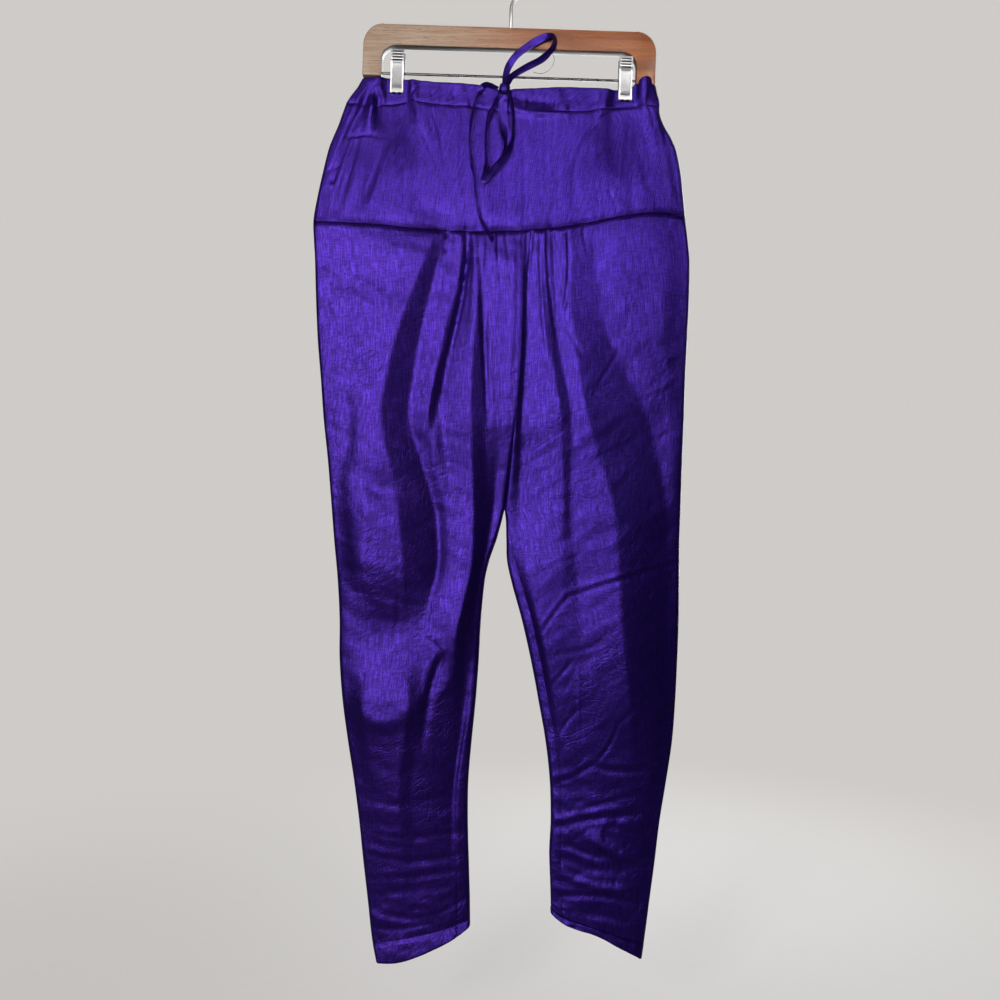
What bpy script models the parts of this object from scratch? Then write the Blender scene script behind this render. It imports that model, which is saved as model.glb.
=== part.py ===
"""A salwar on a bar hanger, as it hangs: a drawstring casing, a yoke, two tapered legs pleated into
the yoke at the centre front, and narrow hems. Two spring clips on the hanger's rod hold the waist.

Metres, +Z up, the front faces -Y. The origin is the inside of the hook's crown, where a rail
carries it. Lengths in this file are in millimetres. A drop is a distance below the top of the
hanger's bar at its middle, and grows downwards.
"""
import math
from collections import namedtuple

import bmesh
import bpy
from mathutils import Matrix, Vector

METRES = 0.001

# Driving sizes
HOOK_RISE = 68.0            # from the bar's top to the inside of the hook's crown
CLOTH = 1.3                 # wall of one layer of cloth
CASING = 1.9                # wall of the folded casing and hems
GAP = 0.3                   # between pieces at a seam
FOLD_RADIUS = 4.0           # outside radius of the cloth at the side folds and inseams
CROTCH = 548.0              # drop of the crotch point
LEGS_PART = 430.0           # drop at which the two legs start to round away from each other
SEAM_DROP = 234.0           # drop of the yoke's lower seam at the centre front
BACK_STANDS_UP = 5.0        # how far the back of the waist stands above the front
STANDS_UP_TO = 60.0         # how far from the middle it does so, fading over STANDS_UP_FADE
STANDS_UP_FADE = 45.0
UNDER_FOOT_X = 137.0        # from here on, the back's edge lies below the hanger's right foot
UNDER_FOOT_FADE = 5.0
UNDER_FOOT_DROP = 66.5
HEM_DROP = 1018.0           # drop at which a leg ends and its hem starts, before the hem's slant
PINCH = CASING + GAP        # half of the cloth between the jaws of a clip
ROUNDNESS = 2.3             # a higher power keeps the cloth's depth further out to its edges
EDGE_FADE = 26.0            # how far in from a side fold the pleats reach their full depth
INSEAM_FADE = 16.0          # the same from the fold at the inseam
SEAM_FADE = 26.0            # how far above the yoke's seam the pleats start to lift the cloth
PLEAT_FADE = 150.0          # how far below the last of their drops the pleats fade out
CENTRE_DIP = 1.5            # depth of the dip along the centre seam
CENTRE_DIP_FADE = 100.0
CREASE_EDGE = 12.0          # how far in from a side fold the yoke's creases reach their depth
TOP_SLANT = 150.0           # how far down a leg its rows slant like the yoke's seam
HEM_SLANT_DROP = 880.0      # drop from which they slant like the hem
CROWDING = 0.75             # a lower power crowds a hem's columns at its two sides
INNER_TURN = 9.0            # width over which the inner fold of a leg has close columns

# The hanger
BAR_HALF = 166.2
BAR_MIDDLE = -0.8
BAR_HEIGHT = 24.0
BAR_DEPTH = 13.0
FOOT_WIDTH = 21.5
FOOT_DROP = 59.2
BAR_OUTER_RADIUS = 33.0
BAR_INNER_RADIUS = 17.0
BAR_EDGE = 1.8
TILT = math.radians(1.4)    # the right end hangs lower
ROD_DROP = 54.1
ROD_RADIUS = 1.5
WIRE_RADIUS = 1.75
HOOK_RADIUS = 17.0
CLIP_WIDTH = 15.6
CLIP_BOTTOM = 77.0
CLIP_PLACES = {"left": -128.2, "right": 131.6}
CLIP_FLAT = 10.5            # half of the width over which a clip presses the cloth flat
CLIP_FADE = 5.5
PRESS_DROP = 84.0           # drop from which this pressing fades out
PRESS_FADE = 60.0
WAIST_DROP = 80.0           # drop at which the columns of the casing and yoke are marked
UPRIGHT = 140.0             # columns this near the middle run straight down

# The drawstring
TAPE_WIDTH = 8.6
TAPE_THICKNESS = 1.3


def table(columns, *rows):
    """Rows with named columns."""
    row_type = namedtuple("Row", columns)
    return [row_type(*row) for row in rows]


OUTLINE = table(
    "drop left right",
    (50, -163, 158), (57, -168, 163.5), (69, -175, 166), (82, -185, 169.5), (96, -190.7, 170.5),
    (110, -195.5, 176), (123, -201, 183.5), (137, -206.4, 189.5), (164, -213, 195), (192, -219, 198),
    (219, -223.4, 201), (240, -222.8, 203.7), (262, -221.4, 205.8), (308, -219.8, 205.4),
    (354, -217.5, 203.5), (399, -213.6, 201.7), (445, -210, 200.6), (490, -205, 199.2),
    (536, -200.9, 198), (582, -197, 196.8), (627, -192.6, 196.6), (673, -190, 196.5),
    (718, -189.6, 195.2), (764, -186, 193.3), (810, -179.6, 190), (855, -172.3, 183.6),
    (901, -166, 176.5), (946, -161, 171.4), (992, -155.4, 165.6), (1038, -150, 160), (1062, -145, 156.5))
CENTRE = table(
    "drop x",
    (234, 14.5), (314, 15.5), (380, 13.5), (436, 9), (490, 3.5), (525, -0.5), (548, -3))
INNER_EDGE = {
    "left": table(
        "drop x",
        (548, -3.3), (559, -5.8), (582, -12), (604, -19.5), (627, -24.6), (673, -28.8), (718, -30.9),
        (764, -34), (810, -38.2), (855, -41.6), (901, -41.8), (946, -40.4), (992, -38.9), (1062, -37.4)),
    "right": table(
        "drop x",
        (548, -2.7), (559, -1.4), (582, -0.6), (604, 0.2), (627, 5), (673, 17.9), (718, 28.4),
        (764, 37.4), (810, 45.8), (855, 51), (901, 52.4), (946, 51), (992, 52.6), (1062, 55))}
INSEAM_SHIFT = {
    "left": table("drop shift", (548, 0), (700, 2), (800, 9), (900, 14), (1062, 14)),
    "right": table("drop shift", (548, 0), (582, 6), (627, 11), (720, 11), (900, 12), (1062, 15))}

TOP_EDGE = table(
    "x drop",
    (-185, 58.5), (-168, 57.4), (-149, 56.4), (-136, 57.2), (-120, 58.2), (-97, 61.4), (-63, 64),
    (-30, 66.6), (-15, 71), (-6, 72), (4, 70.4), (17, 69.6), (62, 67.6), (91, 67.9), (121, 68.3),
    (138, 66), (144, 64.8), (147.5, 58.5), (151, 55.8), (154.5, 56.5), (157, 64), (159, 66), (170, 66))
CASING_LINE = table(
    "x drop",
    (-190, 86), (-160, 88), (-134, 86.5), (-115, 84), (-78, 88.6), (-46, 90.5), (4, 97.5),
    (52, 95.6), (87, 94.6), (105, 91), (135, 87.5), (172, 86))
YOKE_LINE = table(
    "x drop",
    (-223, 221), (-182, 224), (-147, 226.5), (-113, 230.3), (-79, 232.9), (-39, 234.2), (-11, 234),
    (23, 232), (58, 228.3), (92, 221.8), (126, 214.7), (160, 209.8), (183, 209.9), (200.5, 213.8))
BACK_LINE = table("x drop", (-223, 221), (200.5, 213.8))
BAND_TOP = {
    "left": table("x drop", (-152, 1041), (-95, 1029), (-60, 1019.5), (-37, 1011)),
    "right": table("x drop", (52, 997), (66, 1007), (105, 1019), (135, 1030), (162, 1038))}
HEM_LINE = {
    "left": table("x drop", (-150, 1062), (-124, 1059.5), (-90, 1048), (-56, 1032), (-37, 1020)),
    "right": table("x drop", (52, 1004.5), (71, 1017), (105, 1027.5), (136, 1043.4), (160, 1056))}

# How far the cloth stands out from the middle plane, at the middle of the body and of a leg
BODY_DEPTH = table(
    "drop front back",
    (50, 5, 4), (75, 6, 4.5), (100, 7.5, 6), (150, 10, 8), (200, 12, 10), (234, 13.5, 11),
    (280, 16.5, 12.5), (340, 19, 14), (440, 19, 14), (548, 15, 12))
LEG_DEPTH = table(
    "drop front back",
    (430, 12, 9), (548, 11, 9), (700, 12.5, 10), (850, 10, 8), (1000, 8, 7), (1062, 7, 6))

# The pleats of the front, each line with its place and how far it stands out, at six drops.
# A line with positive lifts is the crest of a fold and one with negative lifts is a valley.
PLEAT_DROPS = (234, 340, 440, 548, 690, 830)
PLEATS = {
    "left": table(
        "name x1 x2 x3 x4 x5 x6 lift1 lift2 lift3 lift4 lift5 lift6",
        ("crest_d", 4, 6, 0, -11, -45, -66, 1.0, 1.5, 1.5, 1.0, 0, 0),
        ("tuck_d", -8, -4, -6, -16, -50, -72, -1.2, 0.5, 1.2, 0.8, 0, 0),
        ("crest_c", -20, -18, -13, -22, -56, -78, 1.4, 3.0, 2.5, 0.5, 0, 0),
        ("valley_c", -31, -34, -32, -33, -62, -84, -2.2, -4.5, -4.0, -2.0, 0, 0),
        ("crest_b", -40, -45, -48, -54, -80, -92, 1.6, 4.0, 5.0, 5.5, 5.0, 1.0),
        ("valley_b", -50, -69, -86, -96, -104, -104, -1.8, -4.0, -4.5, -3.0, -4.0, -2.5),
        ("crest_a", -66, -88, -106, -116, -122, -116, 1.8, 3.5, 3.5, 2.0, 1.5, 1.0),
        ("valley_a", -81, -113, -136, -146, -144, -130, -1.8, -6.0, -6.5, -3.5, 0, 0),
        ("crest_side", -94, -138, -164, -172, -166, -148, 1.0, 3.0, 2.0, 1.0, 0, 0)),
    "right": table(
        "name x1 x2 x3 x4 x5 x6 lift1 lift2 lift3 lift4 lift5 lift6",
        ("crest_e", 22, 24, 20, 12, 44, 68, 1.0, 1.5, 1.5, 0.5, 0, 0),
        ("tuck_e", 28, 29, 24, 20, 54, 76, -1.2, 1.0, 1.5, 1.0, 0, 0),
        ("crest_f", 36, 37, 34, 38, 68, 88, 1.6, 4.0, 4.5, 3.5, 1.0, 0),
        ("valley_f", 46, 44, 58, 72, 88, 100, -2.0, -4.0, -2.0, 1.0, 2.0, 0),
        ("crest_g", 56, 66, 82, 108, 124, 120, 1.6, 3.5, 4.0, 4.5, 3.5, 1.0),
        ("tuck_g", 64, 78, 96, 122, 138, 130, -1.4, 0.5, 1.5, 1.5, 1.5, 0),
        ("crest_h", 74, 90, 108, 134, 148, 142, 1.0, 1.5, 0, -1.0, 0, 0),
        ("valley_h", 84, 102, 126, 154, 164, 154, -1.8, -2.5, -3.0, -3.0, -1.5, 0))}

# Single creases: a straight trough from its start to its end, or a ridge where the depth is negative
YOKE_CREASES = table(
    "x_start drop_start x_end drop_end depth width",
    (-150, 66, -150, 112, 6.0, 7), (-152, 112, -186, 128, 2.5, 6), (-162, 140, -196, 185, 3.0, 9),
    (-128, 88, -150, 190, 2.0, 9), (-112, 92, -96, 150, 1.2, 7), (130, 90, 96, 150, 1.4, 8),
    (136, 90, 150, 190, 2.2, 8), (150, 100, 178, 170, 2.0, 8))
LEG_CREASES = {
    "left": table(
        "x_start drop_start x_end drop_end depth width",
        (-100, 690, -68, 712, 3.0, 12), (-70, 716, -92, 830, 3.5, 13),
        (-165, 872, -60, 880, 1.6, 12), (-158, 930, -48, 915, 1.8, 12), (-150, 985, -60, 972, 2.0, 12)),
    "right": table(
        "x_start drop_start x_end drop_end depth width",
        (70, 700, 190, 612, 2.2, 14), (62, 796, 150, 700, 2.0, 14), (84, 842, 180, 822, 2.8, 13),
        (58, 905, 170, 900, 2.8, 12), (80, 930, 165, 955, 2.5, 12), (64, 985, 150, 990, 2.5, 12))}
ROWS = table(
    "start stop count",
    (234, 270, 3), (270, 480, 6), (480, 540, 2), (540, 548, 1), (548, 580, 2), (580, 880, 8),
    (880, 1018, 5))

# Back gathers, even soft waves each side of the centre
BACK_WAVE = 21.0
BACK_WAVE_LIFT = 1.6
BACK_WAVE_REACH = 96.0
BACK_WAVE_EDGE = 30.0       # width over which they fade at their two ends
BACK_WAVE_FADE = (198.0, 60.0, 300.0, 260.0)    # drop and length of their start and of their end
PUCKER_WAVES = ((15.0, 0.7), (23.0, 0.28))      # length and depth of each wave of the casing
PUCKER_EDGE = 30.0

# The swelling of the cloth in front of the hanger's right foot
FOOT_PUFF = 7.0
PUFF_X = 151.5
PUFF_WIDTH = 10.0
PUFF_DROP = 58.0
PUFF_HEIGHT = 24.0
PUFF_EDGE = 8.0
FOOT_MARKS = [144.3, 147.5, 151.0, 154.5, 157.0]

# The bow of the drawstring. A route's out is measured from the cloth, a y from the middle plane.
KNOT = (-9.0, 75.0)
KNOT_HALF = (7.2, 4.6, 6.8)
LOOP_UP = table(
    "x drop y",
    (-9.5, 65.9, -15.0), (-6, 54, -13.5), (1, 41.5, -12.5), (14, 28, -12), (30, 18.5, -12),
    (41, 14, -12), (47.5, 15.5, -12), (47.5, 22, -12), (40, 34.5, -12), (27, 43.5, -12),
    (12, 51.5, -12.5), (0, 58.5, -14.5), (-4.0, 64.6, -16.0))
LOOP_DOWN = table(
    "x drop out",
    (-10, 84, 3.0), (-10.5, 94, 2.4), (-8.4, 111, 2.4), (-6.9, 132, 2.4), (-6.5, 150, 2.4),
    (-14, 164, 2.4), (-26, 176, 2.4), (-31.5, 181, 3.2), (-33, 182.5, 4.7), (-31, 181.5, 6.2),
    (-22, 177, 6.8), (-9, 167, 6.8), (0, 152, 6.8), (3.5, 132, 6.6), (3.5, 110, 6.2), (0, 94, 5.4),
    (-3.5, 84.5, 4.6))
END_SHORT = table(
    "x drop out",
    (-18.5, 79, 5.4), (-23, 92, 4.4), (-27, 105, 3.4), (-29.4, 120, 3.4), (-28.5, 140, 3.4),
    (-26.5, 158, 3.4))
END_LONG = table(
    "x drop out",
    (-33, 69, 2.4), (-37, 82, 2.4), (-42, 97, 2.4), (-46, 116, 2.4), (-46, 140, 2.4), (-43.5, 163, 2.4),
    (-39.5, 183, 2.6), (-38.5, 200, 2.6), (-35.5, 216, 2.8), (-29, 228.5, 3.2), (-23.5, 238, 3.6),
    (-19, 250, 4.0), (-15.5, 263, 4.4))

# The wire of the hook, from the bar up to the round of its crown
HOOK_STEM = table(
    "x drop",
    (0, -0.3), (0, -12), (0, -24), (0, -31), (2.0, -34.2), (6.8, -37.0), (11.5, -39.6))
CROWN_START = -30           # angles of the crown's arc, 0 to the right and 90 upwards
CROWN_STOP = 205

# A jaw of a clip from its grip to its lip: how far its outer and inner faces are from the middle
JAW = table(
    "drop outer inner",
    (26.0, 7.4, 6.9), (26.6, 8.0, 6.8), (28.0, 8.2, 6.7), (28.5, 7.5, 6.6), (30.0, 7.5, 6.5),
    (30.5, 8.2, 6.4), (31.6, 8.2, 6.3), (32.1, 7.5, 6.2), (33.6, 7.5, 6.1), (34.1, 8.2, 6.0),
    (35.2, 8.2, 5.9), (35.7, 7.5, 5.8), (37.2, 7.5, 5.7), (37.7, 8.2, 5.6), (39.4, 8.0, 5.5),
    (40.6, 7.0, 5.2), (44.0, 6.5, 4.9), (49.1, 6.1, 4.2), (58.1, 5.8, 4.2), (63.1, 5.7, 3.2),
    (66.1, 5.7, 2.6), (71.0, 5.5, 2.5), (74.4, 5.1, 2.5), (75.8, 4.6, 2.5), (77.0, 3.9, 2.5))
COIL_WIDTH = 9.0
COIL_RADIUS = 3.8

FINISHES = {
    "cloth": ((0.10, 0.03, 0.42, 1), 0.45, 0.0),
    "tape": ((0.07, 0.02, 0.30, 1), 0.5, 0.0),
    "wood": ((0.30, 0.13, 0.06, 1), 0.35, 0.0),
    "steel": ((0.72, 0.72, 0.74, 1), 0.28, 1.0)}


def clamp(value, low=0.0, high=1.0):
    return max(low, min(high, value))


def smooth(value):
    value = clamp(value)
    return value * value * (3 - 2 * value)


def between(rows, column, at, key=0):
    """The value of a column at a place of the key column, on a smooth curve through the rows."""
    keys = [row[key] for row in rows]
    values = [getattr(row, column) for row in rows]
    if at <= keys[0]:
        return values[0]
    if at >= keys[-1]:
        return values[-1]
    high = next(index for index, place in enumerate(keys) if place >= at)
    low = high - 1
    span = keys[high] - keys[low]

    def slope(index):
        before = max(index - 1, 0)
        after = min(index + 1, len(keys) - 1)
        return (values[after] - values[before]) / (keys[after] - keys[before])

    t = (at - keys[low]) / span
    return ((2 * t ** 3 - 3 * t ** 2 + 1) * values[low] + (t ** 3 - 2 * t ** 2 + t) * span * slope(low)
            + (-2 * t ** 3 + 3 * t ** 2) * values[high] + (t ** 3 - t ** 2) * span * slope(high))


def sign_of(side):
    return -1 if side == "left" else 1


def outer_edge(side, drop):
    return between(OUTLINE, side, drop)


def centre_x(drop):
    return between(CENTRE, "x", drop)


def inner_edge(side, drop):
    """The edge of a leg nearest to the other: the centre seam above the crotch, the fold below it."""
    if drop < CROTCH:
        return centre_x(drop) + sign_of(side) * GAP / 2
    return between(INNER_EDGE[side], "x", drop)


def inseam_x(side, drop):
    """The seam on the front of a leg, which runs a little outside the inner fold."""
    return inner_edge(side, drop) + sign_of(side) * between(INSEAM_SHIFT[side], "shift", drop)


def rounded(distance, radius=FOLD_RADIUS):
    """Height of a quarter circle of radius 1, at a distance from its edge."""
    return math.sqrt(1 - (1 - clamp(distance / radius)) ** 2)


def crease_depth(creases, x, drop):
    """How deep all the single creases together are at a place."""
    total = 0.0
    for row in creases:
        run_x, run_drop = row.x_end - row.x_start, row.drop_end - row.drop_start
        along = (x - row.x_start) * run_x + (drop - row.drop_start) * run_drop
        share = clamp(along / (run_x ** 2 + run_drop ** 2))
        away = math.hypot(x - row.x_start - share * run_x, drop - row.drop_start - share * run_drop)
        total += row.depth * math.exp(-(away / row.width) ** 2)
    return total


def pleat_lines(side, drop):
    """The (x, lift) of each pleat line of one leg at a drop, from the seam outwards."""
    drop = clamp(drop, PLEAT_DROPS[0], PLEAT_DROPS[-1])
    station = max(index for index in range(len(PLEAT_DROPS) - 1) if PLEAT_DROPS[index] <= drop)
    share = smooth((drop - PLEAT_DROPS[station]) / (PLEAT_DROPS[station + 1] - PLEAT_DROPS[station]))
    even = (drop - PLEAT_DROPS[station]) / (PLEAT_DROPS[station + 1] - PLEAT_DROPS[station])
    lines = []
    for row in PLEATS[side]:
        places, lifts = row[1:7], row[7:13]
        x = places[station] + even * (places[station + 1] - places[station])
        lift = lifts[station] + share * (lifts[station + 1] - lifts[station])
        lines.append((x, lift))
    return lines


def pleat_places(side, drop):
    """The pleat lines, carried down below the last station at the same share of the leg's width."""
    lines = pleat_lines(side, drop)
    last = PLEAT_DROPS[-1]
    if drop <= last:
        return lines
    inner, outer = inseam_x(side, last), outer_edge(side, last)
    now_inner, now_outer = inseam_x(side, drop), outer_edge(side, drop)
    fade = 1 - smooth((drop - last) / PLEAT_FADE)
    return [(now_inner + (x - inner) / (outer - inner) * (now_outer - now_inner), lift * fade)
            for x, lift in lines]


def front_lift(side, x, drop):
    """How far the pleats lift the front of a leg at a place."""
    drop = max(drop, SEAM_DROP)
    dip = CENTRE_DIP * (1 - smooth((drop - LEGS_PART) / CENTRE_DIP_FADE))
    marks = [(inseam_x(side, drop), -dip)]
    marks += pleat_places(side, drop)
    marks.append((outer_edge(side, drop), 0.0))
    sign = sign_of(side)
    for (x_a, lift_a), (x_b, lift_b) in zip(marks, marks[1:]):
        if sign * x <= sign * x_b:
            share = clamp((x - x_a) / (x_b - x_a))
            return lift_a + (lift_b - lift_a) * (0.5 - 0.5 * math.cos(math.pi * share))
    return 0.0


def jaw_x(place):
    """Where the jaws of a clip grip, to the left of its place along the tilted rod."""
    return place - CLIP_BOTTOM * math.sin(TILT)


def clip_press(x, drop):
    """1 where a clip presses the layers together, fading to 0 around it."""
    press = 0.0
    for place in CLIP_PLACES.values():
        beside = 1 - smooth((abs(x - jaw_x(place)) - CLIP_FLAT) / CLIP_FADE)
        below = 1 - smooth((drop - PRESS_DROP) / PRESS_FADE)
        press = max(press, beside * below)
    return press


def depth(face, side, x, drop):
    """How far the outer face of the front or back lies from the middle plane."""
    outer = outer_edge(side, drop)
    inner = inner_edge(side, drop)
    apart = smooth((drop - LEGS_PART) / (CROTCH - LEGS_PART))
    from_outer, from_inner = abs(outer - x), abs(x - inner)
    rim = FOLD_RADIUS * rounded(from_outer) * (1 - apart * (1 - rounded(from_inner)))
    left, right = outer_edge("left", drop), outer_edge("right", drop)
    across = abs(2 * (x - left) / (right - left) - 1)
    body = between(BODY_DEPTH, face, drop) * (1 - clamp(across) ** ROUNDNESS)
    along = clamp(abs(2 * (x - inner) / (outer - inner) - 1))
    leg = between(LEG_DEPTH, face, drop) * (1 - along ** ROUNDNESS)
    total = rim + (1 - apart) * body + apart * leg
    near_edge = smooth(from_outer / EDGE_FADE) * (1 - apart * (1 - smooth(from_inner / INSEAM_FADE)))
    if face == "front":
        blend = smooth((drop - SEAM_DROP + SEAM_FADE) / SEAM_FADE)
        total += near_edge * blend * front_lift(side, x, drop)
        total -= near_edge * crease_depth(LEG_CREASES[side], x, drop)
        total -= rounded(from_outer, CREASE_EDGE) * crease_depth(YOKE_CREASES, x, drop)
        below = max(drop - PUFF_DROP, 0) / PUFF_HEIGHT
        puff = math.exp(-((x - PUFF_X) / PUFF_WIDTH) ** 2 - below ** 2)
        total += FOOT_PUFF * puff * rounded(from_outer, PUFF_EDGE)
    else:
        start, start_length, stop, stop_length = BACK_WAVE_FADE
        from_centre = x - centre_x(drop)
        reach = 1 - smooth((abs(from_centre) - BACK_WAVE_REACH + BACK_WAVE_EDGE) / BACK_WAVE_EDGE)
        fade = smooth((drop - start) / start_length) * (1 - smooth((drop - stop) / stop_length))
        spread = 0.6 + drop / 500
        wave = math.cos(2 * math.pi * from_centre / (BACK_WAVE * spread))
        total += near_edge * reach * fade * BACK_WAVE_LIFT * wave
    press = clip_press(x, drop)
    return total * (1 - press) + PINCH * press


def nearest_side(x, drop):
    return "left" if x < centre_x(drop) else "right"


def front_y(x, drop):
    return -depth("front", nearest_side(x, drop), x, drop)


def back_y(x, drop):
    return depth("back", nearest_side(x, drop), x, drop)


def point(x, y, drop):
    """A place in the object's frame, in millimetres, from its x, y and drop."""
    return Vector((x, y, -(HOOK_RISE + drop)))


def finish(name, mesh, finish_name):
    """Name, colour and link a finished solid. The mesh is in millimetres in the object's frame."""
    bmesh.ops.recalc_face_normals(mesh, faces=mesh.faces)
    bmesh.ops.scale(mesh, vec=(METRES,) * 3, verts=mesh.verts)
    data = bpy.data.meshes.new(name)
    mesh.to_mesh(data)
    mesh.free()
    data.shade_smooth()
    data.set_sharp_from_angle(angle=math.radians(40))
    data.materials.append(bpy.data.materials[finish_name])
    bpy.context.collection.objects.link(bpy.data.objects.new(name, data))


def surface_normal(grid, row, column, ring):
    """The direction square to a grid of points at one of them."""
    last_row, last_column = len(grid) - 1, len(grid[0]) - 1
    above, below = grid[max(row - 1, 0)][column], grid[min(row + 1, last_row)][column]
    if ring:
        before = grid[row][column - 1]
        after = grid[row][(column + 1) % (last_column + 1)]
    else:
        before = grid[row][max(column - 1, 0)]
        after = grid[row][min(column + 1, last_column)]
    return (after - before).cross(below - above).normalized()


def wall(name, grid, thickness, outward=1, ring=False, keep_clear=None):
    """A closed wall of cloth: its outer points are the grid's, its inner points lie a thickness in."""
    mesh = bmesh.new()
    outer, inner = [], []
    for row, places in enumerate(grid):
        outer.append([mesh.verts.new(place) for place in places])
        inner.append([])
        for column, place in enumerate(places):
            inside = place - outward * thickness * surface_normal(grid, row, column, ring)
            if row in (0, len(grid) - 1):
                inside.z = place.z
            if keep_clear:
                keep_clear(row, column, inside)
            inner[-1].append(mesh.verts.new(inside))
    rows, columns = len(grid), len(grid[0])
    for row in range(rows - 1):
        for column in range(columns if ring else columns - 1):
            beside = (column + 1) % columns
            for skin in (outer, inner):
                mesh.faces.new((skin[row][column], skin[row][beside],
                                skin[row + 1][beside], skin[row + 1][column]))
    for row in (0, rows - 1):
        for column in range(columns if ring else columns - 1):
            beside = (column + 1) % columns
            mesh.faces.new((outer[row][column], outer[row][beside], inner[row][beside], inner[row][column]))
    if not ring:
        for column in (0, columns - 1):
            for row in range(rows - 1):
                mesh.faces.new((outer[row][column], outer[row + 1][column],
                                inner[row + 1][column], inner[row][column]))
    finish(name, mesh, "cloth")


def evenly(places, step):
    """The places with even ones between them, no further apart than a step."""
    result = [places[0]]
    for start, stop in zip(places, places[1:]):
        count = max(1, math.ceil(abs(stop - start) / step - 0.01))
        result += [start + (stop - start) * (index + 1) / count for index in range(count)]
    return result


def row_drops():
    """The drop of each row of a leg, at the middle of the leg."""
    drops = [ROWS[0].start]
    for row in ROWS:
        drops += [row.start + (row.stop - row.start) * (index + 1) / row.count for index in range(row.count)]
    return drops


def slanted(side, x, base, face):
    """A row's drop at one x: level in the middle of the leg, slanted to the seams at its ends."""
    near_top = 1 - smooth((base - SEAM_DROP) / TOP_SLANT)
    seam = between(YOKE_LINE if face == "front" else BACK_LINE, "drop", x)
    near_hem = smooth((base - HEM_SLANT_DROP) / (HEM_DROP - HEM_SLANT_DROP))
    hem = between(BAND_TOP[side], "drop", x)
    return (base + near_top * (seam + GAP / 2 - SEAM_DROP)
            + near_hem * (hem - GAP / 2 - HEM_DROP))


def resample(path, count):
    """Points spread evenly along a path, from its first to its last."""
    lengths = [0.0]
    for a, b in zip(path, path[1:]):
        lengths.append(lengths[-1] + (b - a).length)
    places = []
    for index in range(count):
        target = lengths[-1] * index / (count - 1)
        step = max(i for i in range(len(path) - 1) if lengths[i] <= target + 1e-9)
        span = max(lengths[step + 1] - lengths[step], 1e-9)
        places.append(path[step].lerp(path[step + 1], clamp((target - lengths[step]) / span)))
    return places


def front_columns(side, base):
    """The x of each column on the front of a leg, from its seam to its side fold."""
    sign = sign_of(side)
    start, end = inseam_x(side, base), outer_edge(side, base)
    marks = [start] + [x for x, _ in pleat_places(side, base)] + [end - sign * FOLD_RADIUS * 1.6]
    columns = [start, start + sign * 1.2, start + sign * 3.6]
    previous = columns[-1]
    for mark in marks[1:]:
        if sign * (mark - previous) < 2.4:
            mark = previous + sign * 2.4
        columns += [(previous + mark) / 2, mark]
        previous = mark
    return columns


def leg_row(side, base):
    """One row of a leg's outer points, round from the front seam to the back seam."""
    sign = sign_of(side)
    row = []
    for x in front_columns(side, base):
        drop = slanted(side, x, base, "front")
        row.append(point(x, -depth("front", side, x, drop), drop))
    outer = outer_edge(side, slanted(side, outer_edge(side, base), base, "front"))
    for face, inset in (("front", 0.3), ("front", 0.0), ("back", 0.3), ("back", 1.6)):
        x = outer - sign * FOLD_RADIUS * inset
        drop = slanted(side, x, base, face)
        y = depth(face, side, x, drop) if inset else 0.0
        row.append(point(x, -y if face == "front" else y, drop))
    inner = inner_edge(side, base)
    width = outer - inner
    for share in (0.88, 0.77, 0.66, 0.55, 0.44, 0.33, 0.22, 0.12):
        x = inner + share * width
        drop = slanted(side, x, base, "back")
        row.append(point(x, depth("back", side, x, drop), drop))
    turn = []
    steps = 12
    for index in range(steps + 1):
        x = inner + sign * INNER_TURN * (1 - index / steps) ** 2
        drop = slanted(side, x, base, "back")
        turn.append(point(x, depth("back", side, x, drop), drop))
    if base >= CROTCH:
        shift = max(between(INSEAM_SHIFT[side], "shift", base) - GAP, 0)
        for index in range(1, steps + 1):
            x = inner + sign * shift * (index / steps) ** 2
            drop = slanted(side, x, base, "front")
            turn.append(point(x, -depth("front", side, x, drop), drop))
        if shift == 0:
            turn = turn[:steps + 1]
            turn[-1].y = GAP / 2
            row[0].y = -GAP / 2
    row += resample(turn, 8)
    return row


def build_leg(side):
    drops = row_drops()
    grid = [leg_row(side, base) for base in drops]

    def keep_clear(row, column, inside):
        """The two edges that meet at the crotch stay on their own sides of the middle plane."""
        if between(INSEAM_SHIFT[side], "shift", drops[row]) <= GAP:
            if column < 3:
                inside.y = min(inside.y, -GAP / 2)
            if column > len(grid[0]) - 6:
                inside.y = max(inside.y, GAP / 2)

    wall("leg_" + side, grid, CLOTH, outward=-sign_of(side), keep_clear=keep_clear)


def hem_row(side, share):
    """One row of a hem's outer points, all round the leg's end."""
    row = []
    turns = 12
    for face in ("front", "back"):
        for index in range(turns):
            angle = math.pi * index / turns
            along = 0.5 - 0.5 * math.copysign(abs(math.cos(angle)) ** CROWDING, math.cos(angle))
            if face == "back":
                along = 1 - along
            middle = HEM_DROP + 10
            inner, outer = inner_edge(side, middle), outer_edge(side, middle)
            x = inner + along * (outer - inner)
            top = between(BAND_TOP[side], "drop", x) + GAP / 2
            bottom = between(HEM_LINE[side], "drop", x)
            drop = top + share * (bottom - top)
            inner, outer = inner_edge(side, drop), outer_edge(side, drop)
            x = inner + along * (outer - inner)
            y = depth(face, side, x, drop) if 0 < along < 1 else 0.0
            row.append(point(x, -y if face == "front" else y, drop))
    return row


def build_hem(side):
    grid = [hem_row(side, share) for share in (0.0, 0.5, 1.0)]
    wall("hem_" + side, grid, CASING, outward=-sign_of(side), ring=True)


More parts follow.
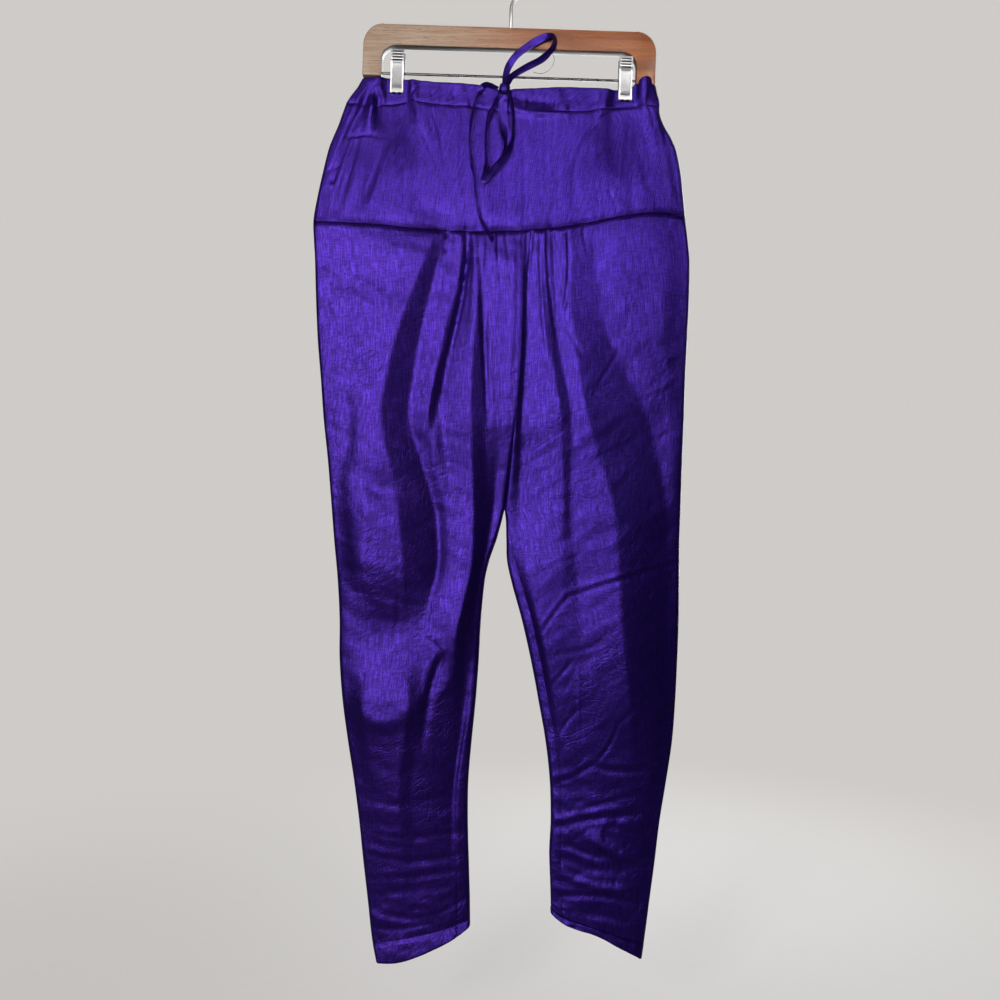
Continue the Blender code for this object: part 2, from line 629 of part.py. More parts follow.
def back_edge(x):
    """The back's upper edge: above the front's between the clips, below the hanger's right foot."""
    rise = BACK_STANDS_UP * (1 - smooth((abs(x) - STANDS_UP_TO) / STANDS_UP_FADE))
    under_foot = smooth((x - UNDER_FOOT_X) / UNDER_FOOT_FADE)
    return (between(TOP_EDGE, "drop", x) - rise) * (1 - under_foot) + UNDER_FOOT_DROP * under_foot


def column_x(mark, drop):
    """A column's x at a drop: level with its mark, but the outer ones follow the outline."""
    side = "left" if mark < 0 else "right"
    limit = sign_of(side) * UPRIGHT
    if abs(mark) <= UPRIGHT:
        return mark
    share = (mark - limit) / (outer_edge(side, WAIST_DROP) - limit)
    return limit + share * (outer_edge(side, drop) - limit)


def band(face, upper, lower, share_rows, marks, name, thickness, puckers=()):
    """A panel right across the front or back, between two lines, with a column at each mark."""
    grid = []
    for share_row in share_rows:
        row = []
        for mark in marks:
            drop = WAIST_DROP
            for _ in range(4):
                x = column_x(mark, drop)
                drop = upper(x) + share_row * (lower(x) - upper(x))
            x = column_x(mark, drop)
            left, right = outer_edge("left", drop), outer_edge("right", drop)
            y = -front_y(x, drop) if face == "front" else back_y(x, drop)
            free = (1 - clip_press(x, drop)) * smooth(min(x - left, right - x) / PUCKER_EDGE)
            wave = sum(lift * math.cos(2 * math.pi * x / length) for length, lift in puckers)
            y += free * (0.4 + 0.6 * share_row) * wave
            y = max(y, GAP / 2)
            row.append(point(x, -y if face == "front" else y, drop))
        grid.append(row)
    sign = -1 if face == "front" else 1

    def keep_clear(_row, _column, inside):
        """Front and back stay on their own sides of the middle plane where they meet."""
        inside.y = sign * max(sign * inside.y, GAP / 2)

    wall(name, grid, thickness, outward=-1 if face == "front" else 1, keep_clear=keep_clear)


def build_waist():
    """The casing and the yoke, front and back."""
    marks = []
    for side, place in CLIP_PLACES.items():
        edge, sign = outer_edge(side, WAIST_DROP), sign_of(side)
        marks += [edge, edge - sign * 1.2, edge - sign * 4.5]
        marks += [jaw_x(place) + offset for offset in (-CLIP_FLAT, CLIP_FLAT)]
        marks.append(jaw_x(place) - sign_of(side) * (CLIP_FLAT + CLIP_FADE))
    marks.append(jaw_x(CLIP_PLACES["left"]) - CLIP_FLAT - CLIP_FADE)
    coarse = evenly(sorted(marks), 13)
    fine = evenly(sorted(marks + FOOT_MARKS), 7.5)
    half = GAP / 2

    def line(rows, shift=0.0):
        return lambda x: between(rows, "drop", x) + shift

    casing_end, yoke_start = line(CASING_LINE, -half), line(CASING_LINE, half)
    band("front", line(TOP_EDGE), casing_end, (0, 0.5, 1), fine, "casing_front", CASING, PUCKER_WAVES)
    band("back", back_edge, casing_end, (0, 0.5, 1), coarse, "casing_back", CASING)
    band("front", yoke_start, line(YOKE_LINE, -half), [i / 8 for i in range(9)], coarse,
         "yoke_front", CLOTH)
    band("back", yoke_start, line(BACK_LINE, -half), [i / 5 for i in range(6)], coarse,
         "yoke_back", CLOTH)


def smooth_route(points, steps):
    """Points on a smooth curve through a route's own points."""
    ends = [points[0] * 2 - points[1]] + points + [points[-1] * 2 - points[-2]]
    path = []
    for a, b, c, d in zip(ends, ends[1:], ends[2:], ends[3:]):
        for index in range(steps):
            t = index / steps
            path.append(0.5 * ((2 * b) + (c - a) * t + (2 * a - 5 * b + 4 * c - d) * t * t
                               + (3 * b - a - 3 * c + d) * t ** 3))
    return path + [points[-1]]


def tape(name, points, steps, across=None):
    """A flat tape along a route. It faces the front, or has its width along a given direction."""
    path = smooth_route(points, steps)
    mesh = bmesh.new()
    rings = []
    for index, place in enumerate(path):
        ahead = path[min(index + 1, len(path) - 1)] - path[max(index - 1, 0)]
        if across is None:
            width = Vector((0, 1, 0)).cross(Vector((ahead.x, 0, ahead.z))).normalized()
        else:
            width = across.normalized()
        thick = ahead.cross(width).normalized() * TAPE_THICKNESS / 2
        width = width * TAPE_WIDTH / 2
        rings.append([mesh.verts.new(place + width * u + thick * v)
                      for u, v in ((-1, -0.6), (0, -1), (1, -0.6), (1, 0.6), (0, 1), (-1, 0.6))])
    for low, high in zip(rings, rings[1:]):
        for index in range(6):
            beside = (index + 1) % 6
            mesh.faces.new((low[index], low[beside], high[beside], high[index]))
    mesh.faces.new(rings[0])
    mesh.faces.new(rings[-1])
    finish(name, mesh, "tape")


def on_cloth(rows):
    """Route points that lie a little out from the cloth under them."""
    return [point(row.x, front_y(row.x, max(row.drop, 72)) - row.out, row.drop) for row in rows]


def build_drawstring():
    x, drop = KNOT
    y = front_y(x, drop) - KNOT_HALF[1] - GAP
    mesh = bmesh.new()
    bmesh.ops.create_uvsphere(mesh, u_segments=14, v_segments=8, radius=1)
    bmesh.ops.scale(mesh, vec=KNOT_HALF, verts=mesh.verts)
    bmesh.ops.translate(mesh, vec=point(x, y, drop), verts=mesh.verts)
    finish("drawstring_knot", mesh, "tape")
    tape("drawstring_loop_up", [point(row.x, row.y, row.drop) for row in LOOP_UP], 2,
         across=Vector((-0.35, 0.62, 0.70)))
    tape("drawstring_loop_down", on_cloth(LOOP_DOWN), 2)
    tape("drawstring_end_short", on_cloth(END_SHORT), 2)
    tape("drawstring_end_long", on_cloth(END_LONG), 2)


def tilted(mesh):
    """Turn a piece of the hanger about the top of the bar's middle, as the hanger hangs."""
    pivot = point(BAR_MIDDLE, 0, 0)
    turn = Matrix.Rotation(TILT, 4, "Y")
    bmesh.ops.transform(mesh, matrix=Matrix.Translation(pivot) @ turn @ Matrix.Translation(-pivot),
                        verts=mesh.verts)


def arc(centre, radius, start, stop, count):
    """Places (x, drop) on an arc, angles in degrees, 0 to the right and 90 upwards."""
    places = []
    for index in range(count + 1):
        angle = math.radians(start + (stop - start) * index / count)
        places.append((centre[0] + radius * math.cos(angle), centre[1] - radius * math.sin(angle)))
    return places


def build_bar():
    """The wooden bar: an arch with rounded shoulders and two short feet."""
    outer, inner = BAR_HALF, BAR_HALF - FOOT_WIDTH
    shoulder = (outer - BAR_OUTER_RADIUS, BAR_OUTER_RADIUS)
    armpit = (inner - BAR_INNER_RADIUS, BAR_HEIGHT + BAR_INNER_RADIUS)
    right = arc(shoulder, BAR_OUTER_RADIUS, 90, 0, 8) + [(outer, FOOT_DROP), (inner, FOOT_DROP)]
    right += arc(armpit, BAR_INNER_RADIUS, 0, 90, 6)
    outline = right + [(-x, drop) for x, drop in reversed(right)]
    mesh = bmesh.new()
    front = [mesh.verts.new(point(BAR_MIDDLE + x, -BAR_DEPTH / 2, drop)) for x, drop in outline]
    face = mesh.faces.new(front)
    extruded = bmesh.ops.extrude_face_region(mesh, geom=[face])
    moved = [item for item in extruded["geom"] if isinstance(item, bmesh.types.BMVert)]
    bmesh.ops.translate(mesh, vec=(0, BAR_DEPTH, 0), verts=moved)
    rims = [edge for edge in mesh.edges
            if abs(edge.verts[0].co.y - edge.verts[1].co.y) < BAR_DEPTH / 2]
    bmesh.ops.bevel(mesh, geom=rims, offset=BAR_EDGE, segments=2, affect="EDGES", profile=0.5)
    tilted(mesh)
    finish("hanger_bar", mesh, "wood")


def tube(name, path, radius, sides, finish_name, tilt=False):
    """A round wire along a path of points in one upright plane, with flat ends."""
    mesh = bmesh.new()
    rings = []
    for index, place in enumerate(path):
        ahead = (path[min(index + 1, len(path) - 1)] - path[max(index - 1, 0)]).normalized()
        level = Vector((0, 1, 0))
        upright = ahead.cross(level).normalized()
        rings.append([mesh.verts.new(place + radius * (math.cos(a) * level + math.sin(a) * upright))
                      for a in [2 * math.pi * k / sides for k in range(sides)]])
    for low, high in zip(rings, rings[1:]):
        for index in range(sides):
            beside = (index + 1) % sides
            mesh.faces.new((low[index], low[beside], high[beside], high[index]))
    mesh.faces.new(rings[0])
    mesh.faces.new(rings[-1])
    if tilt:
        tilted(mesh)
    finish(name, mesh, finish_name)


def build_rod():
    reach = BAR_HALF - FOOT_WIDTH - GAP
    tube("hanger_rod", [point(BAR_MIDDLE - reach, 0, ROD_DROP), point(BAR_MIDDLE + reach, 0, ROD_DROP)],
         ROD_RADIUS, 12, "steel", tilt=True)


def build_hook():
    """The wire hook: a stem up from the bar, bent out and over in a round crown above the origin."""
    middle = -(HOOK_RISE - (HOOK_RADIUS - WIRE_RADIUS))
    path = HOOK_STEM + arc((0, middle), HOOK_RADIUS, CROWN_START, CROWN_STOP, 16)
    tube("hanger_hook", [point(x, 0, drop) for x, drop in path], WIRE_RADIUS, 10, "steel")


def build_jaw(side, face, place):
    """One bent jaw of a clip, the same from its grip to its lip all across its width."""
    sign = -1 if face == "front" else 1
    places = [(row.inner, row.drop) for row in JAW] + [(row.outer, row.drop) for row in reversed(JAW)]
    mesh = bmesh.new()
    rims = [[mesh.verts.new(point(place + x, sign * y, drop)) for y, drop in places]
            for x in (-CLIP_WIDTH / 2, CLIP_WIDTH / 2)]
    mesh.faces.new(rims[0])
    mesh.faces.new(rims[1])
    for index in range(len(places)):
        beside = (index + 1) % len(places)
        mesh.faces.new((rims[0][index], rims[0][beside], rims[1][beside], rims[1][index]))
    tilted(mesh)
    finish("clip_%s_%s_jaw" % (side, face), mesh, "steel")


def build_spring(side, place):
    """The coil between the jaws of a clip, as one sleeve around the rod."""
    sides, bore = 12, ROD_RADIUS + GAP
    mesh = bmesh.new()
    rings = []
    for end, radius in ((-0.5, COIL_RADIUS), (0.5, COIL_RADIUS), (0.5, bore), (-0.5, bore)):
        angles = [2 * math.pi * k / sides for k in range(sides)]
        rings.append([mesh.verts.new(point(place + end * COIL_WIDTH, radius * math.cos(angle),
                                           ROD_DROP + radius * math.sin(angle))) for angle in angles])
    for index in range(4):
        low, high = rings[index], rings[(index + 1) % 4]
        for k in range(sides):
            beside = (k + 1) % sides
            mesh.faces.new((low[k], low[beside], high[beside], high[k]))
    tilted(mesh)
    finish("clip_%s_spring" % side, mesh, "steel")


def make_finishes():
    for name, (colour, roughness, metallic) in FINISHES.items():
        material = bpy.data.materials.new(name)
        material.use_nodes = True
        shader = material.node_tree.nodes["Principled BSDF"]
        shader.inputs["Base Color"].default_value = colour
        shader.inputs["Roughness"].default_value = roughness
        shader.inputs["Metallic"].default_value = metallic


def main():
    for item in list(bpy.data.objects):
        bpy.data.objects.remove(item, do_unlink=True)
    make_finishes()
    build_waist()
    for side in ("left", "right"):
        build_leg(side)
        build_hem(side)
    build_drawstring()
    build_bar()
    build_rod()
    build_hook()
    for side, place in CLIP_PLACES.items():
        build_jaw(side, "front", place)
        build_jaw(side, "back", place)
        build_spring(side, place)


main()
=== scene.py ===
import math
from collections import namedtuple

import bmesh
import bpy
import numpy as np
from mathutils import Matrix, Vector


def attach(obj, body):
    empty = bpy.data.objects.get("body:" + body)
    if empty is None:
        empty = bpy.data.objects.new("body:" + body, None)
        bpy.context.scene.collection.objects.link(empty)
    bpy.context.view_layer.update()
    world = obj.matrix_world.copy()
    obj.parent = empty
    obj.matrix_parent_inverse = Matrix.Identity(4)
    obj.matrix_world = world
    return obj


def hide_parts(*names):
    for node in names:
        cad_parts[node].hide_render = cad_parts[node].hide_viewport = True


# A salwar on a bar hanger, dressed around its CAD frame: cloth, drawstring, stitching, wood, steel.
# Metres, +Z up, the front faces -Y. Sizes in the tables are in millimetres. A drop is a distance
# below the top of the hanger's bar at its middle, and grows downwards. Left and right are as seen
# from the front.

bl_info = {
    "name": "Salwar on a hanger",
    "version": (1, 0, 0),
    "blender": (4, 5, 0),
    "location": "3D View > Sidebar > Salwar",
    "description": "Builds a pleated salwar with its drawstring, on a bar hanger with two clips",
    "category": "Add Mesh",
}

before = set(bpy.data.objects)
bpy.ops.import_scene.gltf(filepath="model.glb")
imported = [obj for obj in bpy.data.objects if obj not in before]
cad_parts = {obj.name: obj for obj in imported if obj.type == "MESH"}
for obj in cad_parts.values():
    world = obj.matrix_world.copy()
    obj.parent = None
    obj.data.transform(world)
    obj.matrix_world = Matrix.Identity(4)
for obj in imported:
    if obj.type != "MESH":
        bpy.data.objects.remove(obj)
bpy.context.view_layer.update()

MM = 0.001
BODY = "root"
CLOTH_MAP = "cloth"

# Driving sizes of the salwar
HOOK_RISE = 68.0  # from the top of the bar up to the hook's crown
GAP = 0.3  # between two pieces at a seam
PINCH = 2.2  # from the middle plane to the cloth's face, where a clip presses it
FOLD_RADIUS = 4.0  # of the cloth's fold at a side
SEAM_OVERLAP = 0.12  # of the two legs at the centre seam
LEGS_PART = 430.0  # drop where the two legs begin to round apart
CROTCH = 548.0
SEAM_DROP = 234.0  # of the yoke's front seam at its middle
HEM_DROP = 1018.0
WAIST_DROP = 80.0
UPRIGHT = 140.0  # from the centre, how far the yoke's threads hang straight down
BACK_STANDS_UP = 5.0  # of the casing's back above its front, between the clips
BENEATH_FOOT = 66.5  # drop of the casing's back under the bar's right foot
FOOT_PUFF = 7.0  # how far the cloth puffs out under the bar's right foot, and where
PUFF_X = 151.5
PUFF_WIDTH = 10.0
PUFF_DROP = 58.0
PUFF_HEIGHT = 24.0
TAPE_WIDTH = 10.0
TAPE_THICKNESS = 0.55
ON_CASING = 72.0  # drop from which the drawstring lies on the cloth

# Driving sizes of the hanger
BAR_HALF = 166.2
BAR_MIDDLE = -0.8
BAR_HEIGHT = 24.0
BAR_DEPTH = 13.0
FOOT_WIDTH = 21.5
FOOT_DROP = 59.2
BAR_OUTER_RADIUS = 32.34
BAR_INNER_RADIUS = 16.66
TILT = math.radians(1.4)
ROD_DROP = 54.1
WIRE_RADIUS = 1.75
HOOK_RADIUS = 17.0
CLIP_WIDTH = 15.2
CLIP_BOTTOM = 77.0
CLIP_PLACES = {"left": -127.4, "right": 132.0}
CLIP_FLAT = 10.5  # to either side of a clip's middle, how far the cloth is pressed flat
CLIP_FADE = 9.0  # and how far from there it takes to stand free


def table(columns, *rows):
    """Rows with named columns."""
    row_type = namedtuple("Row", columns)
    return [row_type(*row) for row in rows]


OUTLINE = table(
    "drop left right",
    (50, -163, 158), (57, -168, 163.5), (69, -175, 166), (82, -185, 169.5), (96, -190.7, 170.5),
    (110, -195.5, 176), (123, -201, 183.5), (137, -206.4, 189.5), (164, -213, 195), (192, -219, 198),
    (219, -223.4, 201), (240, -222.8, 203.7), (262, -221.4, 205.8), (308, -219.8, 205.4),
    (354, -217.5, 203.5), (399, -213.6, 201.7), (445, -210, 200.6), (490, -205, 199.2),
    (536, -200.9, 198), (582, -197, 196.8), (627, -192.6, 196.6), (673, -190, 196.5),
    (718, -189.6, 195.2), (764, -186, 193.3), (810, -179.6, 190), (855, -172.3, 183.6),
    (901, -166, 176.5), (946, -161, 171.4), (992, -155.4, 165.6), (1038, -150, 160), (1062, -145, 156.5))
CENTRE = table(
    "drop x",
    (234, 14.5), (314, 15.5), (380, 13.5), (436, 9), (490, 3.5), (525, -0.5), (548, -3))
INNER_EDGE = {
    "left": table(
        "drop x",
        (548, -3.3), (559, -5.8), (582, -12), (604, -19.5), (627, -24.6), (673, -28.8), (718, -30.9),
        (764, -34), (810, -38.2), (855, -41.6), (901, -41.8), (946, -40.4), (992, -38.9), (1062, -37.4)),
    "right": table(
        "drop x",
        (548, -2.7), (559, -1.4), (582, -0.6), (604, 0.2), (627, 5), (673, 17.9), (718, 28.4),
        (764, 37.4), (810, 45.8), (855, 51), (901, 52.4), (946, 51), (992, 52.6), (1062, 55))}
INSEAM_SHIFT = {
    "left": table("drop shift", (548, 0), (700, 2), (800, 9), (900, 14), (1062, 14)),
    "right": table("drop shift", (548, 0), (582, 6), (627, 11), (720, 11), (900, 12), (1062, 15))}
TOP_EDGE = table(
    "x drop",
    (-185, 58.5), (-168, 57.4), (-149, 56.4), (-136, 57.2), (-120, 58.2), (-97, 61.4), (-63, 64),
    (-30, 66.6), (-15, 71), (-6, 72), (4, 70.4), (17, 69.6), (62, 67.6), (91, 67.9), (121, 68.3),
    (139, 64.5), (142, 60.5), (147, 57.8), (152, 55.8), (157, 55.2), (160.5, 57.4), (164, 62), (170, 66))
CASING_LINE = table(
    "x drop",
    (-190, 86), (-160, 88), (-134, 86.5), (-115, 84), (-78, 88.6), (-46, 90.5), (4, 97.5),
    (52, 95.6), (87, 94.6), (105, 91), (135, 87.5), (172, 86))
YOKE_LINE = table(
    "x drop",
    (-223, 221), (-182, 224), (-147, 226.5), (-113, 230.3), (-79, 232.9), (-39, 234.2), (-11, 234),
    (23, 232), (58, 228.3), (92, 221.8), (126, 214.7), (160, 209.8), (183, 209.9), (200.5, 213.8))
BACK_LINE = table("x drop", (-223, 221), (200.5, 213.8))
BAND_TOP = {
    "left": table("x drop", (-152, 1041), (-95, 1029), (-60, 1019.5), (-37, 1011)),
    "right": table("x drop", (52, 997), (66, 1007), (105, 1019), (135, 1030), (162, 1038))}
HEM_LINE = {
    "left": table("x drop", (-150, 1062), (-124, 1059.5), (-90, 1048), (-56, 1032), (-37, 1020)),
    "right": table("x drop", (52, 1004.5), (71, 1017), (105, 1027.5), (136, 1043.4), (160, 1056))}

# How far the cloth stands out from the middle plane, at the middle of the body and of a leg
BODY_DEPTH = table(
    "drop front back",
    (50, 4.2, 4), (75, 4.8, 4.5), (100, 6.2, 6), (150, 9.4, 8), (200, 12, 10), (234, 13.5, 11),
    (280, 16.5, 12.5), (340, 19, 14), (440, 19, 14), (548, 15, 12))
LEG_DEPTH = table(
    "drop front back",
    (430, 12, 9), (548, 11, 9), (640, 12.5, 9.6), (740, 14.5, 10), (800, 12.5, 9), (860, 9.5, 8),
    (940, 8.0, 7.5), (1000, 7.8, 7), (1062, 7, 6))

# How far a hem stands out at its fold
HEM_FLARE = {"left": 4.2, "right": 2.6}

# The folds that fall from the pleats of the front, each line with its places across and how far it
# stands out there, at nine drops. The cloth lies straight from each line to the next.
FOLD_HEIGHT = 1.55
PLEAT_DROPS = (234, 290, 350, 440, 548, 610, 690, 760, 850)
PLEATS = {
    "left": table(
        "name places lifts",
        ("ridge_i", (-21, -19, -17, -11, -14, -25, -37, -42, -56),
         (0.5, -1, -2.5, -4.0, -3.2, -1.6, 0.5, -4.2, -2.8)),
        ("valley_h", (-24, -22, -25, -26, -23, -29, -46, -50, -63),
         (-2, -3.4, -4.4, -4.2, -0.8, 1.4, 1.5, -3.7, -2.2)),
        ("crest_g", (-30, -33, -40, -43, -38, -38, -57, -58, -71),
         (1.2, -0.2, 0.3, -0.3, 3.5, 5.4, 6.5, -3.1, -1.4)),
        ("valley_f", (-45, -50, -62, -77, -59, -59, -71, -68, -83),
         (-2.4, -4.4, -5.4, -7.4, -2.6, 0.2, 2, -2.4, -0.4)),
        ("crest_e", (-53, -57, -74, -91, -69, -67, -85, -79, -95),
         (0.3, -1.8, -1.0, -3.0, -4.9, -2.5, -1.4, -1.6, 0.6)),
        ("valley_d", (-69, -86, -99, -114, -80, -76, -98, -93, -106),
         (-2, -4.2, -5.0, -6.8, -8.8, -7.2, -3.7, -0.8, 1.5)),
        ("crest_c", (-82, -105, -127, -146, -122, -116, -121, -107, -120),
         (1.5, 3.2, 4.2, 4.2, 2.8, 3.4, -5.4, 4.2, 4.6)),
        ("line_b", (-187, -183, -181, -174, -158, -165, -135, -161, -152),
         (0, 0, 0.5, 2.6, 6.2, 5.6, -5.6, 5.8, 1.5))),
    "right": table(
        "name places lifts",
        ("valley_j", (20, 19, 19, 15, 13, 21, 40, 55, 70),
         (-2.5, -4.4, -5.8, -7.0, -2.2, 2.0, 3.4, 2, 0)),
        ("crest_k", (41, 41, 44, 59, 63, 61, 67, 79, 88),
         (1.5, -1, -1.3, 0.4, 2.2, 2.6, 2.8, 1.8, 0)),
        ("valley_m", (49, 51, 54, 73, 71, 78, 84, 96, 104),
         (-1.5, -3.2, -4, -1.7, 0.6, 1.2, 2.4, 3.0, 1)),
        ("crest_n", (65, 65, 73, 87, 121, 125, 130, 139, 140),
         (1.5, -0.6, 0.4, 2.2, 5.4, 5.8, 7.4, 6.8, 2)),
        ("valley_o", (92, 100, 110, 158, 184, 186, 184, 174, 165),
         (-1.4, -2.6, -3.0, -3.2, -0.8, -0.6, -0.4, 2.8, 1.5)),
        ("line_p", (174, 174, 175, 184, 190, 191, 190, 184, 174),
         (0.8, 1.4, 1.2, -0.8, -0.4, -0.2, 0, 0.5, 1)))}

# Creases, each a curve from a start over a middle to an end, with its depth there, its width and
# how far the cloth rises along one side of it. A negative depth is a ridge.
CREASE_COLUMNS = "x1 drop1 deep1 x2 drop2 deep2 x3 drop3 deep3 wide lip"
WAIST_CREASES = table(
    CREASE_COLUMNS,
    (-114, 78, 0.8, -108, 71, 1, -100, 64, 0.5, 2, 0.3),
    (2, 94, -1.4, 30, 98, -3.2, 62, 98, -1, 4.5, 0),
    (4, 80, 0.6, 26, 84, 1.6, 52, 86, 0.5, 3.5, 0),
    (-147, 76, 1, -150, 88, 3.6, -155, 103, 1.2, 3.8, 0.5),
    (-91, 73, 0.3, -88, 81, 1, -92, 90, 0.6, 2, 0.3),
    (-67, 75, 0.3, -63, 82, 1, -65, 91, 0.6, 2, 0.3),
    (-43, 76, 0.3, -46, 84, 1.2, -41, 94, 0.8, 2.2, 0.3),
    (19, 76, 0.3, 21, 84, 1.2, 18, 95, 0.8, 2.2, 0.3),
    (45, 75, 0.3, 48, 83, 1, 44, 93, 0.7, 2, 0.3),
    (78, 74, 0.3, 76, 81, 0.9, 79, 88, 0.6, 2, 0.3),
    (102, 72, 0.3, 104, 78, 0.8, 101, 86, 0.6, 2, 0.3),
    (-187, 127, 0.4, -169, 124, 1.3, -145, 126, 0.8, 1.6, 0.5),
    (-210, 168, 0.6, -202, 162, 0.9, -190, 158, 0.3, 1.6, 0.4),
    (-152, 77, 2.5, -149, 93, 7.6, -151, 113, 1.7, 4.2, 0.4),
    (-140, 79, -0.4, -135, 110, -1.3, -131, 167, -0.3, 4.5, 0),
    (-158, 70, 1.4, -180, 116, 3.4, -200, 175, 1.4, 4, 0.5),
    (-162, 79, 0.5, -176, 138, 2.5, -196, 210, 1, 5, 0.4),
    (-144, 129, 0.7, -157, 172, 3.4, -169, 204, 0.8, 6, 0.3),
    (-186, 173, 0.3, -192, 196, 1, -195, 223, 0.6, 3.5, 0.3),
    (-121, 81, 0.7, -103, 115, 0.8, -82, 160, 0.2, 2, 0.3),
    (-89, 98, 0.3, -80, 124, 0.8, -76, 154, 0.3, 1.5, 0.3),
    (-112, 83, 0.6, -120, 96, 0.7, -126, 108, 0.2, 1.8, 0.3),
    (-79, 204, 0.2, -83, 213, 0.9, -87, 223, 0.5, 1.8, 0.4),
    (-104, 195, 0.2, -98, 208, 0.5, -100, 224, 0.4, 1.8, 0.3),
    (125, 88, 0.8, 86, 125, 1, 71, 184, 0.3, 2.4, 0.3),
    (134, 95, 0.7, 133, 127, 0.9, 130, 161, 0.2, 2.2, 0.3),
    (144, 122, 0.3, 149, 153, 0.9, 155, 184, 0.3, 2.4, 0.3),
    (165, 79, 0.7, 180, 136, 1.3, 192, 195, 0.5, 3.2, 0.4),
    (155, 83, 0.4, 165, 113, 0.8, 173, 147, 0.2, 2.5, 0.3),
    (110, 182, 0.2, 117, 198, 0.6, 120, 212, 0.4, 1.8, 0.3),
    (57, 182, 0.2, 48, 205, 0.6, 45, 226, 0.5, 2.2, 0.3))
LEFT_LEG_CREASES = table(
    CREASE_COLUMNS,
    (-176, 492, 0.8, -150, 522, 4.2, -120, 522, 1.2, 16, 0),
    (-186, 418, 0.8, -180, 462, 2.6, -190, 512, 0.8, 9, 0),
    (-71, 236, 1.6, -75, 277, 1.3, -83, 325, 0.2, 1.7, 0.5),
    (-60, 237, -0.9, -62, 268, -0.9, -67, 302, -0.2, 2, 0),
    (-49, 236, 2, -52, 299, 2.3, -70, 379, 1, 2.8, 0.3),
    (-70, 379, 1.2, -82, 436, 2, -95, 496, 0.3, 5, 0.2),
    (-41, 238, -0.9, -40, 286, -1.1, -44, 343, -0.2, 2.2, 0),
    (-34, 235, 1.8, -29, 342, 2, -22, 451, 0.6, 2.8, 0.3),
    (-23, 238, -0.9, -22, 337, -1.4, -17, 451, -0.4, 2.4, 0),
    (-14, 235, 1.4, -12, 274, 1.1, -5, 317, 0.1, 1.5, 0.4),
    (-5, 235, 1.1, -1, 265, 0.8, 2, 294, 0.1, 1.4, 0.4),
    (4, 240, -0.6, 4, 342, -1, -3, 468, -0.3, 3.5, 0),
    (-96, 692, 0.3, -82, 699, 1.3, -72, 711, 1.2, 2.2, 0.2),
    (-73, 716, 2.6, -86, 756, 3, -93, 816, 0.6, 5, 0.2),
    (-183, 763, -0.6, -134, 786, -2.6, -89, 756, -0.8, 11, 0),
    (-67, 719, -0.6, -64, 740, -2, -77, 758, -0.6, 6, 0),
    (-207, 394, 0.3, -191, 398, 0.7, -175, 404, 0.2, 1.5, 0.3),
    (-148, 438, 0.5, -134, 452, 0.8, -125, 455, 0.3, 1.5, 0.3),
    (-125, 455, 0.5, -107, 445, 0.7, -86, 432, 0.2, 1.5, 0.3),
    (-194, 576, 0.4, -172, 583, 0.8, -148, 588, 0.2, 1.6, 0.3),
    (-179, 538, 0.3, -161, 560, 0.6, -145, 575, 0.2, 1.5, 0.3),
    (-201, 534, 1.2, -194, 536, 0.8, -185, 540, 0.2, 1.8, 0.2),
    (-176, 640, 0.2, -140, 647, 0.6, -98, 658, 0.2, 2, 0.3),
    (-127, 606, 0.2, -121, 651, 0.7, -128, 697, 0.3, 3, 0.2),
    (-165, 874, 0.2, -117, 879, 0.6, -60, 869, 0.3, 2.6, 0.3),
    (-163, 909, 0.4, -114, 918, 0.9, -58, 912, 0.3, 2.6, 0.3),
    (-159, 936, 0.4, -105, 945, 1, -48, 938, 0.4, 2.6, 0.3),
    (-154, 966, 0.5, -98, 962, 1.4, -44, 954, 0.5, 2.8, 0.4),
    (-153, 985, 0.3, -107, 980, 0.9, -59, 974, 0.2, 2.2, 0.3),
    (-150, 1002, 0.5, -94, 1009, 1.5, -41, 987, 0.6, 3, 0.4),
    (-148, 1023, 0.5, -98, 1018, 1.2, -43, 998, 0.4, 2.6, 0.3),
    (-119, 993, -0.2, -84, 990, -0.8, -50, 970, -0.2, 3, 0))
